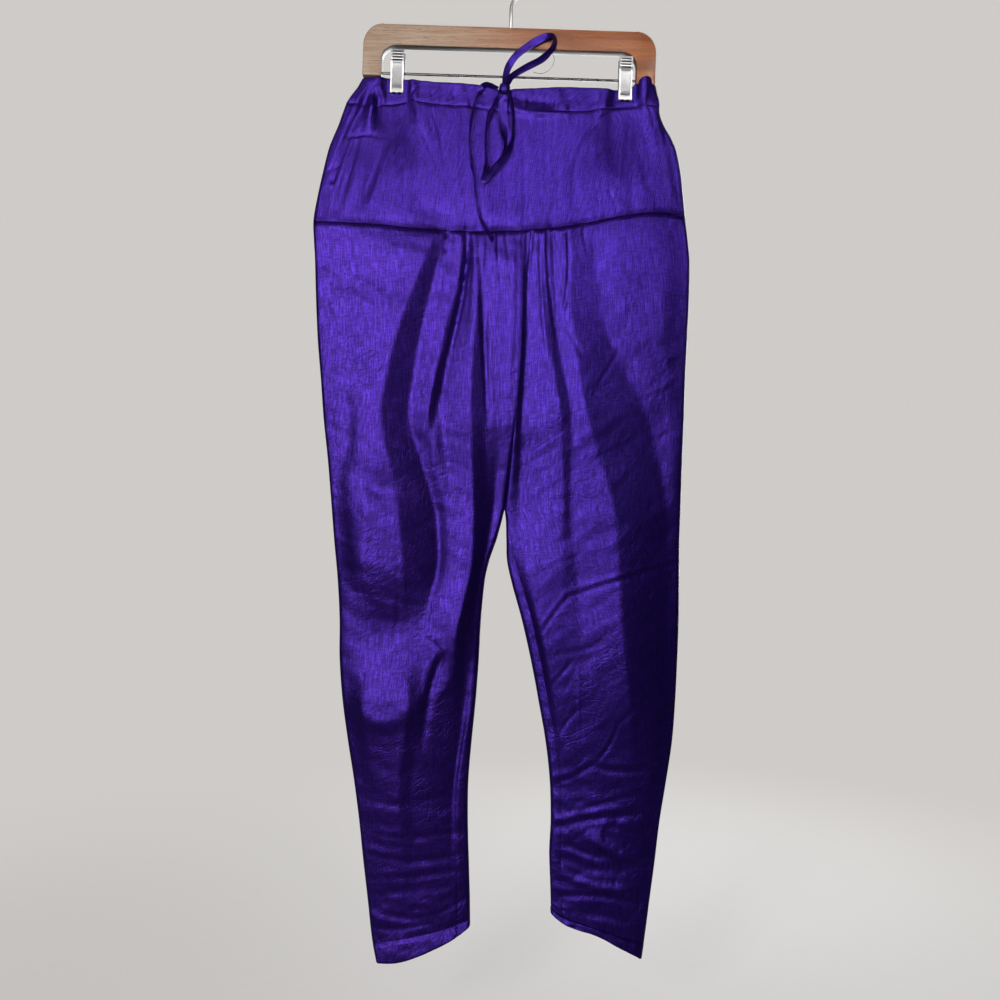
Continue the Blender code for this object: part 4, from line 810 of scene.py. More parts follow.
def yoke_points(face):
    """A yoke panel, from the casing's seam to the leg's seam, sunk a little along both."""
    line = YOKE_LINE if face == "front" else BACK_LINE
    upper = lambda x: between(CASING_LINE, "drop", x) + GAP / 2
    lower = lambda x: between(line, "drop", x) - GAP / 2
    x, drop = panel_places(upper, lower, np.linspace(0, 1, 66)[:, None], panel_marks(176))
    depth = height_across(face, x, drop)
    seed = 44 if face == "front" else 45
    free = 1 - clip_press(x, drop)
    gathered = np.exp(-(drop - upper(x)) / 22) * free
    edge = np.minimum(x - outer_edge("left", drop), outer_edge("right", drop) - x)
    depth = depth + gathered * ease(edge / 20) * 1.1 * ripple(x / 6.5, drop / 30, seed)
    dips = np.exp(-((drop - upper(x)) / 1.6) ** 2) - 0.9 * np.exp(-((drop - lower(x)) / 3.0) ** 2)
    depth = np.maximum(depth - 0.8 * dips * rounded(edge, 6), 0.3)
    return spots(x, -depth if face == "front" else depth, drop)


def hem_depth(side, face, x, drop, share, ends=1.0):
    """How far a hem lies from the middle: drawn in under its sewn line, flared towards its fold."""
    flare = (HEM_FLARE[side] if face == "front" else 1.0) * share ** 0.7
    pucker = 0.5 * ripple(x / 11, drop / 22, 60 + (side == "right"))
    drawn_in = 0.9 * np.exp(-(share * 24 / 1.6) ** 2)
    return height(face, side, x, drop) + (pucker + flare - drawn_in) * ends


def hem_points(side):
    """A hem: down the outside of the leg's end, round the fold, and up the inside."""
    columns = 132
    fold, layer = 0.9, 1.7
    rows = [(share, 0.0, 0.0) for share in np.linspace(0, 1, 9)]
    rows += fold_rows(1.0)
    rows += [(share, 1.0, 0.0) for share in (1.0, 0.66, 0.33, 0.05)]
    share, inside, below = columns_of(rows)
    angle = 2 * math.pi * np.arange(columns)[None, :] / columns
    front = angle < math.pi
    turn = np.where(front, angle, 2 * math.pi - angle)
    across = 0.5 - 0.5 * np.sign(np.cos(turn)) * abs(np.cos(turn)) ** 0.75
    middle = HEM_DROP + 10
    inner, outer = inner_edge(side, middle), outer_edge(side, middle)
    x = inner + across * (outer - inner)
    top = between(BAND_TOP[side], "drop", x) + GAP / 2
    bottom = between(HEM_LINE[side], "drop", x) - fold
    drop = top + share * (bottom - top)
    inner, outer = inner_edge(side, drop), outer_edge(side, drop)
    x = inner + across * (outer - inner)
    ends = np.sqrt(np.clip(np.sin(turn) / 0.35, 0, 1))
    depth = np.where(front, hem_depth(side, "front", x, drop, share, ends),
                     hem_depth(side, "back", x, drop, share, ends))
    depth = depth * np.minimum(ends * 1.4, 1)
    depth = np.where(inside > 0, np.maximum(depth - layer * inside, depth * (1 - 0.6 * inside)), depth)
    narrowed = layer * inside * (across < 0.04) - layer * inside * (across > 0.96)
    return spots(x + sign_of(side) * narrowed, np.where(front, -depth, depth), drop + fold * below)


def smooth_route(points, steps):
    """Points on a smooth curve through a route's own points."""
    points = [Vector(point) for point in points]
    ends = [points[0] * 2 - points[1]] + points + [points[-1] * 2 - points[-2]]
    path = []
    for a, b, c, d in zip(ends, ends[1:], ends[2:], ends[3:]):
        for index in range(steps):
            t = index / steps
            path.append(0.5 * ((2 * b) + (c - a) * t + (2 * a - 5 * b + 4 * c - d) * t * t
                               + (3 * b - a - 3 * c + d) * t ** 3))
    return path + [points[-1]]


def closed_tube(name, rings, closed=False, map_width=0.0):
    """A closed solid through rings of points, with a cloth map along it."""
    mesh = bmesh.new()
    cloth_map = mesh.loops.layers.uv.new(CLOTH_MAP)
    rows = [[mesh.verts.new(place) for place in ring] for ring in rings]
    count, run = len(rows[0]), 0.0
    pairs = list(zip(rows, rows[1:] + rows[:1] if closed else rows[1:]))
    for low, high in pairs:
        step = (high[0].co - low[0].co).length
        for index in range(count):
            beside = (index + 1) % count
            face = mesh.faces.new((low[index], low[beside], high[beside], high[index]))
            across = (index * map_width / count, (index + 1) * map_width / count)
            places = ((across[0], run), (across[1], run), (across[1], run + step), (across[0], run + step))
            for loop, place in zip(face.loops, places):
                loop[cloth_map].uv = place
        run += step
    if not closed:
        mesh.faces.new(rows[0])
        mesh.faces.new(rows[-1])
    bmesh.ops.recalc_face_normals(mesh, faces=mesh.faces)
    data = bpy.data.meshes.new(name)
    mesh.to_mesh(data)
    mesh.free()
    data.shade_smooth()
    data.set_sharp_from_angle(angle=math.radians(50))
    return new_piece(name, data)


def tape_rings(path, turns, width, across=None, closed=False, crumpled=0.0, seed=0):
    """Cross-sections of a flat tape: two thin edges, which waver, and a shallow dish between them."""
    section = ((-1, 0.5), (-1.01, -0.1), (-0.6, -0.75), (-0.2, -0.95), (0.2, -0.95), (0.6, -0.75),
               (1.01, -0.1), (1, 0.5), (0.6, 0.1), (0.2, -0.1), (-0.2, -0.1), (-0.6, 0.1))
    count = len(path)
    steps = np.arange(count, dtype=float)

    def waver(length, track, seed_here):
        return ripple(steps / length, np.full(count, track), seed_here)

    lifts = [crumpled * (waver(4.3, 3.0 * track, seed) + 0.5 * waver(2.1, 2.0 * track, seed + 1))
             for track in (1, 2, 3)]
    swell = 1 + 0.09 * waver(5.0, 9.5, seed)
    rings = []
    for index, place in enumerate(path):
        if closed:
            ahead = path[(index + 1) % count] - path[index - 1]
        else:
            ahead = path[min(index + 1, count - 1)] - path[max(index - 1, 0)]
        ahead.normalize()
        if across is None:
            side = Vector((0, 1, 0)).cross(Vector((ahead.x, 0, ahead.z))).normalized()
        else:
            side = (across - ahead * across.dot(ahead)).normalized()
        side = Matrix.Rotation(math.radians(turns[index]), 3, ahead) @ side
        out = ahead.cross(side).normalized()
        ring = []
        for u, v in section:
            bend = float(np.interp(u, (-1, 0, 1), [line[index] for line in lifts]))
            ring.append(place + side * (u * width / 2 * swell[index])
                        - out * (v * TAPE_THICKNESS - bend) * MM)
        rings.append(ring)
    return rings


def wire_rings(path, radius, sides, level):
    """Cross-sections of a round wire, starting each from a level direction."""
    rings = []
    for index, place in enumerate(path):
        ahead = (path[min(index + 1, len(path) - 1)] - path[max(index - 1, 0)]).normalized()
        across = ahead.cross(level).normalized()
        upright = across.cross(ahead).normalized()
        rings.append([place + radius * (math.cos(angle) * upright + math.sin(angle) * across)
                      for angle in [2 * math.pi * k / sides for k in range(sides)]])
    return rings


def tape(name, points, turns, node, seed, folded=1.0):
    """One run of the drawstring."""
    steps = 7
    path = smooth_route(points, steps)
    turned_by = np.interp(np.arange(len(path)) / steps, np.arange(len(turns)), turns)
    width = TAPE_WIDTH * MM * folded
    rings = tape_rings(path, turned_by, width, crumpled=0.7, seed=seed)
    piece = closed_tube(name, rings, map_width=2 * width)
    finish_piece(piece, "tape cloth", (node,))
    return piece


def on_cloth(rows):
    """Route points that lie a little out from the cloth under them."""
    x = np.array([row.x for row in rows], float)
    drop = np.array([row.drop for row in rows], float)
    out = np.array([row.out for row in rows], float)
    y = -height_across("front", x, np.maximum(drop, ON_CASING)) - out
    return [spot(*values) for values in zip(x, y, drop)]


def build_knot(knot):
    """The knot of the bow: a creased core, two bands of tape round it and a flap below."""
    rings = []
    for index in range(19):
        lean = math.pi * (index + 0.5) / 19
        ring = []
        for k in range(32):
            angle = 2 * math.pi * k / 32
            fold = 1 + 0.07 * math.sin(3 * angle + 2.2 * lean) + 0.04 * math.sin(7 * angle - 3 * lean)
            ring.append(knot + MM * Vector((
                KNOT_HALF[0] * math.sin(lean) * math.cos(angle) * 0.7 * fold,
                KNOT_HALF[1] * math.sin(lean) * math.sin(angle) * 0.62 * fold,
                KNOT_HALF[2] * math.cos(lean) * 0.7)))
        rings.append(ring)
    core = closed_tube("knot_core", rings, map_width=0.03)
    parts, count = [core], 40
    for name, lean, size, width, seed in (("knot_wrap", 16, (5.6, 4.6), 7.6, 5),
                                          ("knot_cross", 100, (5.8, 3.9), 7.0, 6)):
        turn = Matrix.Rotation(math.radians(lean), 3, "Y")
        path = []
        for k in range(count):
            angle = 2 * math.pi * k / count
            offset = Vector((size[0] * math.cos(angle), size[1] * math.sin(angle), 0))
            path.append(knot + MM * (turn @ offset))
        rings = tape_rings(path, [8 * math.sin(k / 3) for k in range(count)], width * MM,
                           turn @ Vector((0, 0, 1)), closed=True, crumpled=0.5, seed=seed)
        parts.append(closed_tube(name, rings, closed=True, map_width=0.015))
    flap = smooth_route([knot + MM * Vector(place) for place in
                         ((1.5, -1, -1), (5.0, -1.5, -4), (7.0, -0.5, -9.0), (6.5, 1, -14.5))], 6)
    rings = tape_rings(flap, np.linspace(-30, -55, len(flap)), 8 * MM, crumpled=0.6, seed=8)
    parts.append(closed_tube("knot_flap", rings, map_width=0.015))
    make_active(core)
    for piece in parts:
        piece.select_set(True)
    bpy.ops.object.join()
    core.name = "drawstring_tie"
    return finish_piece(core, "tape cloth", ("drawstring_knot",))


class Nodes:
    """Adds nodes to a tree and links them."""

    def __init__(self, tree):
        self.tree = tree

    def feed(self, socket, value):
        """Link another socket to this one, or set its own value."""
        if isinstance(value, bpy.types.NodeSocket):
            self.tree.links.new(value, socket)
        else:
            socket.default_value = (*value[:3], 1.0) if socket.type == "RGBA" else value

    def add(self, kind, inputs=None, **settings):
        node = self.tree.nodes.new("ShaderNode" + kind)
        for name, value in settings.items():
            setattr(node, name, value)
        for name, value in (inputs or {}).items():
            self.feed(node.inputs[name], value)
        return node

    def maths(self, operation, first, second=0.0, third=0.0):
        """The result of a Math node."""
        return self.add("Math", {0: first, 1: second, 2: third}, operation=operation).outputs[0]

    def ramp(self, value, low, high, to_low=0.0, to_high=1.0):
        """A value taken from one range to another, softly."""
        node = self.add("MapRange", {"Value": value, "From Min": low, "From Max": high, "To Min": to_low,
                                     "To Max": to_high}, interpolation_type="SMOOTHSTEP")
        return node.outputs[0]

    def mix(self, share, first, second):
        """A colour between two."""
        colour_a, colour_b = 6, 7
        return self.add("Mix", {"Factor": share, colour_a: first, colour_b: second},
                        data_type="RGBA").outputs[2]

    def noise(self, place, scale=1.0, detail=2.0, roughness=0.5, distortion=0.0):
        node = self.add("TexNoise", {"Vector": place, "Scale": scale, "Detail": detail,
                                     "Roughness": roughness, "Distortion": distortion})
        return node.outputs[0]

    def scaled(self, place, x, y, z=0.0):
        return self.add("VectorMath", {0: place, 1: (x, y, z)}, operation="MULTIPLY").outputs[0]

    def turned(self, place, angle):
        return self.add("VectorRotate", {"Vector": place, "Angle": angle},
                        rotation_type="Z_AXIS").outputs[0]


# The finishes of cloth: how its slubs and its pressed crinkle lie, in radians and metres, and how
# much of the cloth's colour it shows; the yoke's share above 1 is partly painted light. The finishes
# of steel: its share of the steel's colour, how much rougher it is, and its scratches for each metre.
# The darkest steel, at a tenth of the colour, is painted shade in the clips' grooves and notches, and
# the rod's wire at half the colour is painted shade on the rod.
CLOTH_FINISHES = table(
    "name slub_turn slub_depth crinkle_turn crinkle_size crinkle_depth shade",
    # The yoke's 1.15 is partly its own cut of the shot silk and partly painted light, to show it lit more
    # brightly.
    ("yoke cloth", 0.0, 0.00011, 1.45, 0.008, 0.00032, 1.15),
    ("left leg cloth", 0.06, 0.00006, 0.35, 0.009, 0.00042, 1.0),
    ("right leg cloth", -0.06, 0.00006, -0.62, 0.009, 0.00042, 1.0),
    ("tape cloth", 0.0, 0.00006, 0.2, 0.004, 0.0001, 0.9),
    ("sewing thread", 0.0, 0.00003, 0.0, 0.002, 0.00005, 0.6))
METAL_FINISHES = table(
    "name share rougher scratches depth",
    ("plated steel", 1.0, 0.0, (1400.0, 1400.0, 60.0), 0.000006),
    ("shaded steel", 0.10, 0.10, (900.0, 900.0, 900.0), 0.00001),
    ("brushed steel", 0.55, 0.02, (900.0, 900.0, 30.0), 0.00003),
    ("wire", 1.0, -0.04, (30.0, 30.0, 30.0), 0.000002),
    ("rod wire", 0.5, -0.10, (30.0, 30.0, 30.0), 0.000002),
    ("spring wire", 0.5, 0.0, (900.0, 900.0, 900.0), 0.00002))


def new_group(name, inputs, outputs):
    """An empty shader node group with named sockets, and its two end nodes."""
    tree = bpy.data.node_groups.new(name, "ShaderNodeTree")
    for label, kind, value in inputs:
        socket = tree.interface.new_socket(name=label, in_out="INPUT", socket_type=kind)
        if value is not None:
            socket.default_value = value
    for label, kind in outputs:
        tree.interface.new_socket(name=label, in_out="OUTPUT", socket_type=kind)
    return Nodes(tree), tree.nodes.new("NodeGroupInput"), tree.nodes.new("NodeGroupOutput")


def link_outputs(nodes, end, **values):
    """Link values to a group's outputs, each named in small letters."""
    for name, value in values.items():
        nodes.feed(end.inputs[name.capitalize()], value)


def make_weave_group():
    """Plain weave: threads that pass over and under, a little uneven."""
    nodes, start, end = new_group(
        "Weave", [("Map", "NodeSocketVector", None), ("Thread", "NodeSocketFloat", 0.0005)],
        [("Height", "NodeSocketFloat")])
    wobble = nodes.maths("MULTIPLY", nodes.noise(start.outputs["Map"], 260.0, 1.0), 1.6)
    count = nodes.maths("DIVIDE", math.pi, start.outputs["Thread"])
    parts = nodes.add("SeparateXYZ", {0: start.outputs["Map"]})
    waves = []
    for axis in (0, 1):
        angle = nodes.maths("MULTIPLY_ADD", parts.outputs[axis], count, wobble)
        waves.append(nodes.maths("SINE", angle))
    over = nodes.maths("GREATER_THAN", nodes.maths("MULTIPLY", waves[0], waves[1]), 0.0)
    first, second = (nodes.maths("ABSOLUTE", wave) for wave in waves)
    upper = nodes.add("Mix", {"Factor": over, "A": first, "B": second}, data_type="FLOAT").outputs[0]
    link_outputs(nodes, end, height=upper)


def make_slub_group():
    """Thicker stretches of single threads, as short lines along the map's second axis."""
    nodes, start, end = new_group(
        "Slubs", [("Map", "NodeSocketVector", None), ("Width", "NodeSocketFloat", 0.0012),
                  ("Length", "NodeSocketFloat", 0.02), ("Turn", "NodeSocketFloat", 0.0)],
        [("Mask", "NodeSocketFloat")])
    place = nodes.turned(start.outputs["Map"], start.outputs["Turn"])
    parts = nodes.add("SeparateXYZ", {0: place})
    across = nodes.maths("DIVIDE", parts.outputs[0], start.outputs["Width"])
    along = nodes.maths("DIVIDE", parts.outputs[1], start.outputs["Length"])
    grid = nodes.add("CombineXYZ", {0: across, 1: along}).outputs[0]
    mask = nodes.ramp(nodes.noise(grid, 1.0, 2.0, 0.6), 0.38, 0.66)
    link_outputs(nodes, end, mask=mask)


def make_crinkle_group():
    """Fine pressed creases in silk: crossing thin lines over soft uneven ground."""
    nodes, start, end = new_group(
        "Crinkle", [("Map", "NodeSocketVector", None), ("Size", "NodeSocketFloat", 0.01),
                    ("Stretch", "NodeSocketFloat", 2.5), ("Turn", "NodeSocketFloat", 0.0)],
        [("Height", "NodeSocketFloat")])
    place = nodes.turned(start.outputs["Map"], start.outputs["Turn"])
    parts = nodes.add("SeparateXYZ", {0: place})
    stretched = nodes.maths("MULTIPLY", start.outputs["Size"], start.outputs["Stretch"])
    along = nodes.maths("DIVIDE", parts.outputs[0], stretched)
    across = nodes.maths("DIVIDE", parts.outputs[1], start.outputs["Size"])
    grid = nodes.add("CombineXYZ", {0: along, 1: across}).outputs[0]
    ground = nodes.noise(grid, 1.0, 4.0, 0.6, 0.5)
    lines = nodes.noise(nodes.turned(grid, 0.5), 0.8, 2.0, 0.5, 0.9)
    crease = nodes.ramp(nodes.maths("ABSOLUTE", nodes.maths("SUBTRACT", lines, 0.5)), 0.0, 0.045)
    patches = nodes.ramp(nodes.noise(start.outputs["Map"], 17.0, 2.0), 0.42, 0.62, 0.02, 0.22)
    total = nodes.maths("MULTIPLY_ADD", crease, patches, ground)
    link_outputs(nodes, end, height=total)


def make_brushed_group():
    """Fine straight scratches along an axis, for metal."""
    nodes, start, end = new_group(
        "Brushed", [("Map", "NodeSocketVector", None),
                    ("Scratches", "NodeSocketVector", (900.0, 900.0, 40.0))],
        [("Height", "NodeSocketFloat"), ("Smudge", "NodeSocketFloat")])
    place = nodes.add("VectorMath", {0: start.outputs["Map"], 1: start.outputs["Scratches"]},
                      operation="MULTIPLY").outputs[0]
    link_outputs(nodes, end, height=nodes.noise(place, 1.0, 3.0, 0.6),
                 smudge=nodes.ramp(nodes.noise(start.outputs["Map"], 110.0, 3.0, 0.6), 0.35, 0.7))


def make_grain_group():
    """Wood grain along X: soft bands, fine fibres and short dark pores."""
    nodes, start, end = new_group(
        "Grain", [("Map", "NodeSocketVector", None)],
        [("Bands", "NodeSocketFloat"), ("Fibres", "NodeSocketFloat"), ("Pores", "NodeSocketFloat")])
    place = start.outputs["Map"]
    bands = nodes.noise(nodes.scaled(place, 7.0, 95.0, 95.0), 1.0, 3.0, 0.5, 0.8)
    fibres = nodes.noise(nodes.scaled(place, 22.0, 900.0, 900.0), 1.0, 3.0, 0.6)
    pores = nodes.ramp(nodes.noise(nodes.scaled(place, 110.0, 1500.0, 1500.0), 1.0, 1.0), 0.62, 0.72)
    link_outputs(nodes, end, bands=nodes.ramp(bands, 0.3, 0.7), fibres=fibres, pores=pores)


def place_group(nodes, name, inputs):
    """The outputs of a shader node group, placed with its own values."""
    return nodes.add("Group", inputs, node_tree=bpy.data.node_groups[name]).outputs


def new_material(name):
    material = bpy.data.materials.new(name)
    material.use_nodes = True
    nodes = Nodes(material.node_tree)
    shader = material.node_tree.nodes["Principled BSDF"]
    return nodes, shader


def set_sockets(nodes, shader, **values):
    """Set or link sockets of a shader, each named with _ for a space."""
    for name, value in values.items():
        nodes.feed(shader.inputs[name.replace("_", " ")], value)


def cloth_material(name, slub_turn, slub_depth, crinkle_turn, crinkle_size, crinkle_depth, shade):
    """Shot silk: violet and dark threads, slubs, and a fine pressed crinkle."""
    cloth = bpy.context.scene.salwar_cloth
    nodes, shader = new_material(name)
    place = nodes.add("UVMap", uv_map=CLOTH_MAP).outputs[0]
    weave = place_group(nodes, "Weave", {"Map": place, "Thread": cloth.thread})["Height"]
    slubs = place_group(nodes, "Slubs", {"Map": place, "Turn": slub_turn})["Mask"]
    cross = place_group(nodes, "Slubs", {"Map": place, "Turn": slub_turn + math.pi / 2,
                                         "Width": 0.0016, "Length": 0.011})["Mask"]
    crinkle = place_group(nodes, "Crinkle", {"Map": place, "Turn": crinkle_turn,
                                             "Size": crinkle_size})["Height"]
    large = place_group(nodes, "Crinkle", {"Map": place, "Turn": crinkle_turn + 0.35,
                                           "Size": crinkle_size * 2.6, "Stretch": 1.8})["Height"]
    threads = nodes.maths("MULTIPLY_ADD", cross, 0.35, nodes.maths("MULTIPLY", slubs, 0.65))
    sides = nodes.add("SeparateXYZ", {0: nodes.add("TexCoord").outputs["Object"]}).outputs[0]
    deep = nodes.mix(nodes.ramp(sides, -0.08, 0.08), cloth.deep_left, cloth.deep_right)
    bright = nodes.mix(nodes.ramp(sides, -0.10, 0.12), cloth.bright_left, cloth.bright_right)
    # This share scales the threads' colour; above 1, as on the yoke, it is partly painted light.
    colour = nodes.mix(nodes.ramp(threads, 0.0, 1.0, 0.35 * shade, 1.0 * shade), deep, bright)
    raised = nodes.maths("MULTIPLY_ADD", large, 1.6, crinkle)
    bump = nodes.add("Bump", {"Height": raised, "Distance": crinkle_depth, "Strength": 1.0})
    bump = nodes.add("Bump", {"Height": slubs, "Distance": slub_depth, "Strength": 1.0,
                              "Normal": bump.outputs[0]})
    bump = nodes.add("Bump", {"Height": weave, "Distance": 0.00005, "Strength": 0.8,
                              "Normal": bump.outputs[0]})
    rough = nodes.ramp(threads, 0.0, 1.0, cloth.roughness + 0.08, cloth.roughness - 0.05)
    set_sockets(nodes, shader, Base_Color=colour, Roughness=rough, Metallic=cloth.metallic,
                Normal=bump.outputs[0], Sheen_Weight=cloth.sheen, Sheen_Roughness=0.4,
                Sheen_Tint=cloth.sheen_colour, Specular_IOR_Level=0.3)


def metal_material(name, share, rougher, scratches, depth):
    """Steel with fine scratches and smudges, in a share of its colour."""
    hanger = bpy.context.scene.salwar_hanger
    colour = [share * value for value in hanger.steel]
    roughness = hanger.steel_roughness + rougher
    nodes, shader = new_material(name)
    place = nodes.add("TexCoord").outputs["Object"]
    brushed = place_group(nodes, "Brushed", {"Map": place, "Scratches": scratches})
    bump = nodes.add("Bump", {"Height": brushed["Height"], "Distance": depth, "Strength": 1.0})
    rough = nodes.ramp(brushed["Smudge"], 0.0, 1.0, roughness - 0.03, roughness + 0.04)
    tone = nodes.mix(brushed["Smudge"], colour, [value * 0.9 for value in colour])
    set_sockets(nodes, shader, Base_Color=tone, Metallic=1.0, Roughness=rough, Normal=bump.outputs[0])


def wood_material(name, share):
    """Lacquered wood with fine pores, a painted glare paling its left end; a small share gives painted
    shade.
    """
    hanger = bpy.context.scene.salwar_hanger
    nodes, shader = new_material(name)
    place = nodes.add("TexCoord").outputs["Object"]
    grain = place_group(nodes, "Grain", {"Map": place})
    along = nodes.add("SeparateXYZ", {0: place}).outputs[0]
    # Towards the board's left end the colour goes over to the glare colour: a painted reflection.
    bright = nodes.mix(nodes.ramp(along, 0.10, -0.17), hanger.wood_bright, hanger.wood_glare)
    ground = nodes.mix(grain["Bands"], hanger.wood_deep, bright)
    ground = nodes.mix(nodes.ramp(along, 0.06, -0.17, 0.0, 0.75), ground, hanger.wood_glare)
    fibre = nodes.mix(nodes.ramp(grain["Fibres"], 0.35, 0.7, 0.0, 0.45), ground, hanger.wood_deep)
    colour = nodes.mix(nodes.maths("MULTIPLY", grain["Pores"], 0.55), fibre, [0.02, 0.008, 0.004])
    colour = nodes.mix(share, [0.0, 0.0, 0.0], colour)
    bump = nodes.add("Bump", {"Height": grain["Fibres"], "Distance": 0.00008, "Strength": 1.0})
    rough = nodes.ramp(grain["Fibres"], 0.3, 0.7, 0.42, 0.55)
    set_sockets(nodes, shader, Base_Color=colour, Roughness=rough, Normal=bump.outputs[0],
                Specular_IOR_Level=0.3, Coat_Weight=0.1, Coat_Roughness=0.25)


def make_materials():
    make_weave_group()
    make_slub_group()
    make_crinkle_group()
    make_brushed_group()
    make_grain_group()
    for row in CLOTH_FINISHES:
        cloth_material(*row)
    for row in METAL_FINISHES:
        metal_material(*row)
    wood_material("lacquered wood", 1.0)
    # The same wood at an eighth of its colour: painted shade for the underside of the arch.
    wood_material("stained edge", 0.12)


def box_piece(name, low, high):
    """A block between two corners in millimetres of x, y and drop, as a start for a piece."""
    corner_a, corner_b = spot(*low), spot(*high)
    bpy.ops.object.select_all(action="DESELECT")
    size = corner_b - corner_a
    bpy.ops.mesh.primitive_cube_add(size=1, location=(corner_a + corner_b) / 2,
                                    scale=(abs(size.x), abs(size.y), abs(size.z)))
    piece = bpy.context.object
    piece.name = name
    bpy.ops.object.transform_apply(location=True, rotation=True, scale=True)
    return piece


def editing(piece, test=None, kind="verts"):
    """Start edit mode with the parts selected that pass a test of their middle and normal."""
    if bpy.context.mode != "EDIT_MESH":
        make_active(piece)
        bpy.ops.object.mode_set(mode="EDIT")
    bpy.ops.mesh.select_mode(type={"verts": "VERT", "edges": "EDGE", "faces": "FACE"}[kind])
    bpy.ops.mesh.select_all(action="DESELECT")
    mesh = bmesh.from_edit_mesh(piece.data)
    for item in getattr(mesh, kind):
        if kind == "verts":
            found = test(item.co, item.normal)
        elif kind == "edges":
            found = test((item.verts[0].co + item.verts[1].co) / 2, item.verts[1].co - item.verts[0].co)
        else:
            found = test(item.calc_center_median(), item.normal)
        if found:
            item.select_set(True)
    bmesh.update_edit_mesh(piece.data)


def done_editing():
    bpy.ops.object.mode_set(mode="OBJECT")


def cut(piece, place, normal):
    """Cut all the way across a piece with a plane."""
    editing(piece, lambda middle, direction: True, "faces")
    bpy.ops.mesh.bisect(plane_co=place, plane_no=normal)


def extrude(offset):
    bpy.ops.mesh.extrude_region_move(TRANSFORM_OT_translate={"value": offset})


def bevel_piece(piece, width, segments, degrees=35):
    apply_modifier(piece, "BEVEL", width=width, segments=segments, limit_method="ANGLE",
                   angle_limit=math.radians(degrees), harden_normals=False)
    make_active(piece)
    bpy.ops.object.shade_smooth_by_angle(angle=math.radians(40))


def tilt_piece(piece):
    """Turn a piece of the hanger about the top of the bar's middle, as the hanger hangs."""
    pivot = spot(BAR_MIDDLE, 0, 0)
    turn = Matrix.Translation(pivot) @ Matrix.Rotation(TILT, 4, "Y") @ Matrix.Translation(-pivot)
    piece.data.transform(turn)


# A jaw of a clip, from its grip to its lip: how far its outer and inner faces lie from the middle
JAW = table(
    "drop outer inner",
    (28.6, 7.3, 6.7), (29.2, 8.0, 6.5), (30.7, 8.2, 6.3), (31.0, 7.3, 6.2), (32.1, 7.3, 6.1),
    (32.4, 8.2, 6.0), (33.9, 8.2, 6.0), (34.2, 7.3, 5.9), (35.3, 7.3, 5.9), (35.6, 8.2, 5.8),
    (37.1, 8.2, 5.8), (37.4, 7.3, 5.7), (38.5, 7.3, 5.7), (38.8, 8.2, 5.6), (40.4, 8.1, 5.5),
    (41.8, 6.9, 5.2), (44.0, 6.5, 4.9), (49.1, 6.1, 4.2), (58.1, 5.8, 4.2), (63.1, 5.7, 3.2),
    (66.1, 5.7, 2.6), (72.0, 5.5, 2.5), (75.6, 5.1, 2.5), (77.0, 5.2, 2.5), (78.4, 4.4, 2.5))
JAW_GROOVES = (31.0, 34.2, 37.4, 40.5)
JAW_RIM = 2.1
JAW_SUNK = 0.8
JAW_TEETH = 6


def build_jaw(side, face, place):
    """One jaw: a pressed plate with grip grooves, a sunk panel between raised rims and a toothed lip."""
    sign = -1 if face == "front" else 1
    half, near = CLIP_WIDTH / 2, 0.05 * MM
    blank_inner, blank_outer = 2, 8
    top, bottom = JAW[0], JAW[-1]
    piece = box_piece("clip_%s_%s_plate" % (side, face), (place - half, blank_inner, top.drop),
                      (place + half, blank_outer, bottom.drop))
    for row in JAW[1:-1]:
        cut(piece, spot(place, 0, row.drop), (0, 0, 1))
    for row in JAW:
        level = spot(0, 0, row.drop).z
        for start, target in ((blank_outer, row.outer), (blank_inner, row.inner)):
            editing(piece, lambda co, _n: abs(co.z - level) < near and abs(co.y - start * MM) < near)
            bpy.ops.transform.translate(value=(0, (target - start) * MM, 0))
    panel = half - JAW_RIM
    for x in (place - panel, place + panel):
        cut(piece, spot(x, 0, 0), (1, 0, 0))
    low, high = spot(0, 0, 72.1).z, spot(0, 0, 43.9).z
    editing(piece, lambda co, n: n.y > 0.5 and low < co.z < high and abs(co.x - place * MM) < panel * MM,
            "faces")
    extrude((0, -JAW_SUNK * MM, 0))
    tooth = CLIP_WIDTH / (2 * JAW_TEETH)
    for index in range(1, 2 * JAW_TEETH):
        cut(piece, spot(place - half + index * tooth, 0, 0), (1, 0, 0))
    lip = spot(0, 0, bottom.drop).z

    def between_teeth(co, _n):
        step = (co.x / MM - (place - half)) / tooth
        return abs(co.z - lip) < near and round(step) % 2 == 1 and abs(step - round(step)) < 0.02

    editing(piece, between_teeth)
    bpy.ops.transform.translate(value=(0, 0, 0.75 * MM))
    done_editing()
    if face == "front":
        piece.data.transform(Matrix.Scale(-1, 4, (0, 1, 0)))
        piece.data.flip_normals()
    bevel_piece(piece, 0.22 * MM, 2)
    finish_piece(piece, "plated steel", ("clip_%s_%s_jaw" % (side, face),))
    for finish in ("shaded steel", "brushed steel"):
        piece.data.materials.append(bpy.data.materials[finish])
    plated, shaded, brushed = 0, 1, 2
    for polygon in piece.data.polygons:
        drop = (spot(0, 0, 0).z - polygon.center.z) / MM
        beside = abs(polygon.center.x / MM - place)
        # Faces in the grip grooves and in the notches between the lip's teeth take the darkest steel:
        # painted shade in these hollows.
        if sign * polygon.center.y > 0 and beside < panel + 0.1:
            groove = any(start - 0.1 < drop < start + 1.3 for start in JAW_GROOVES)
            notch = drop > 76.5 and 1.5 < beside < 4.6
            in_panel = 43.5 < drop < 72.4
            polygon.material_index = shaded if groove or notch else brushed if in_panel else plated
    tilt_piece(piece)
    return piece


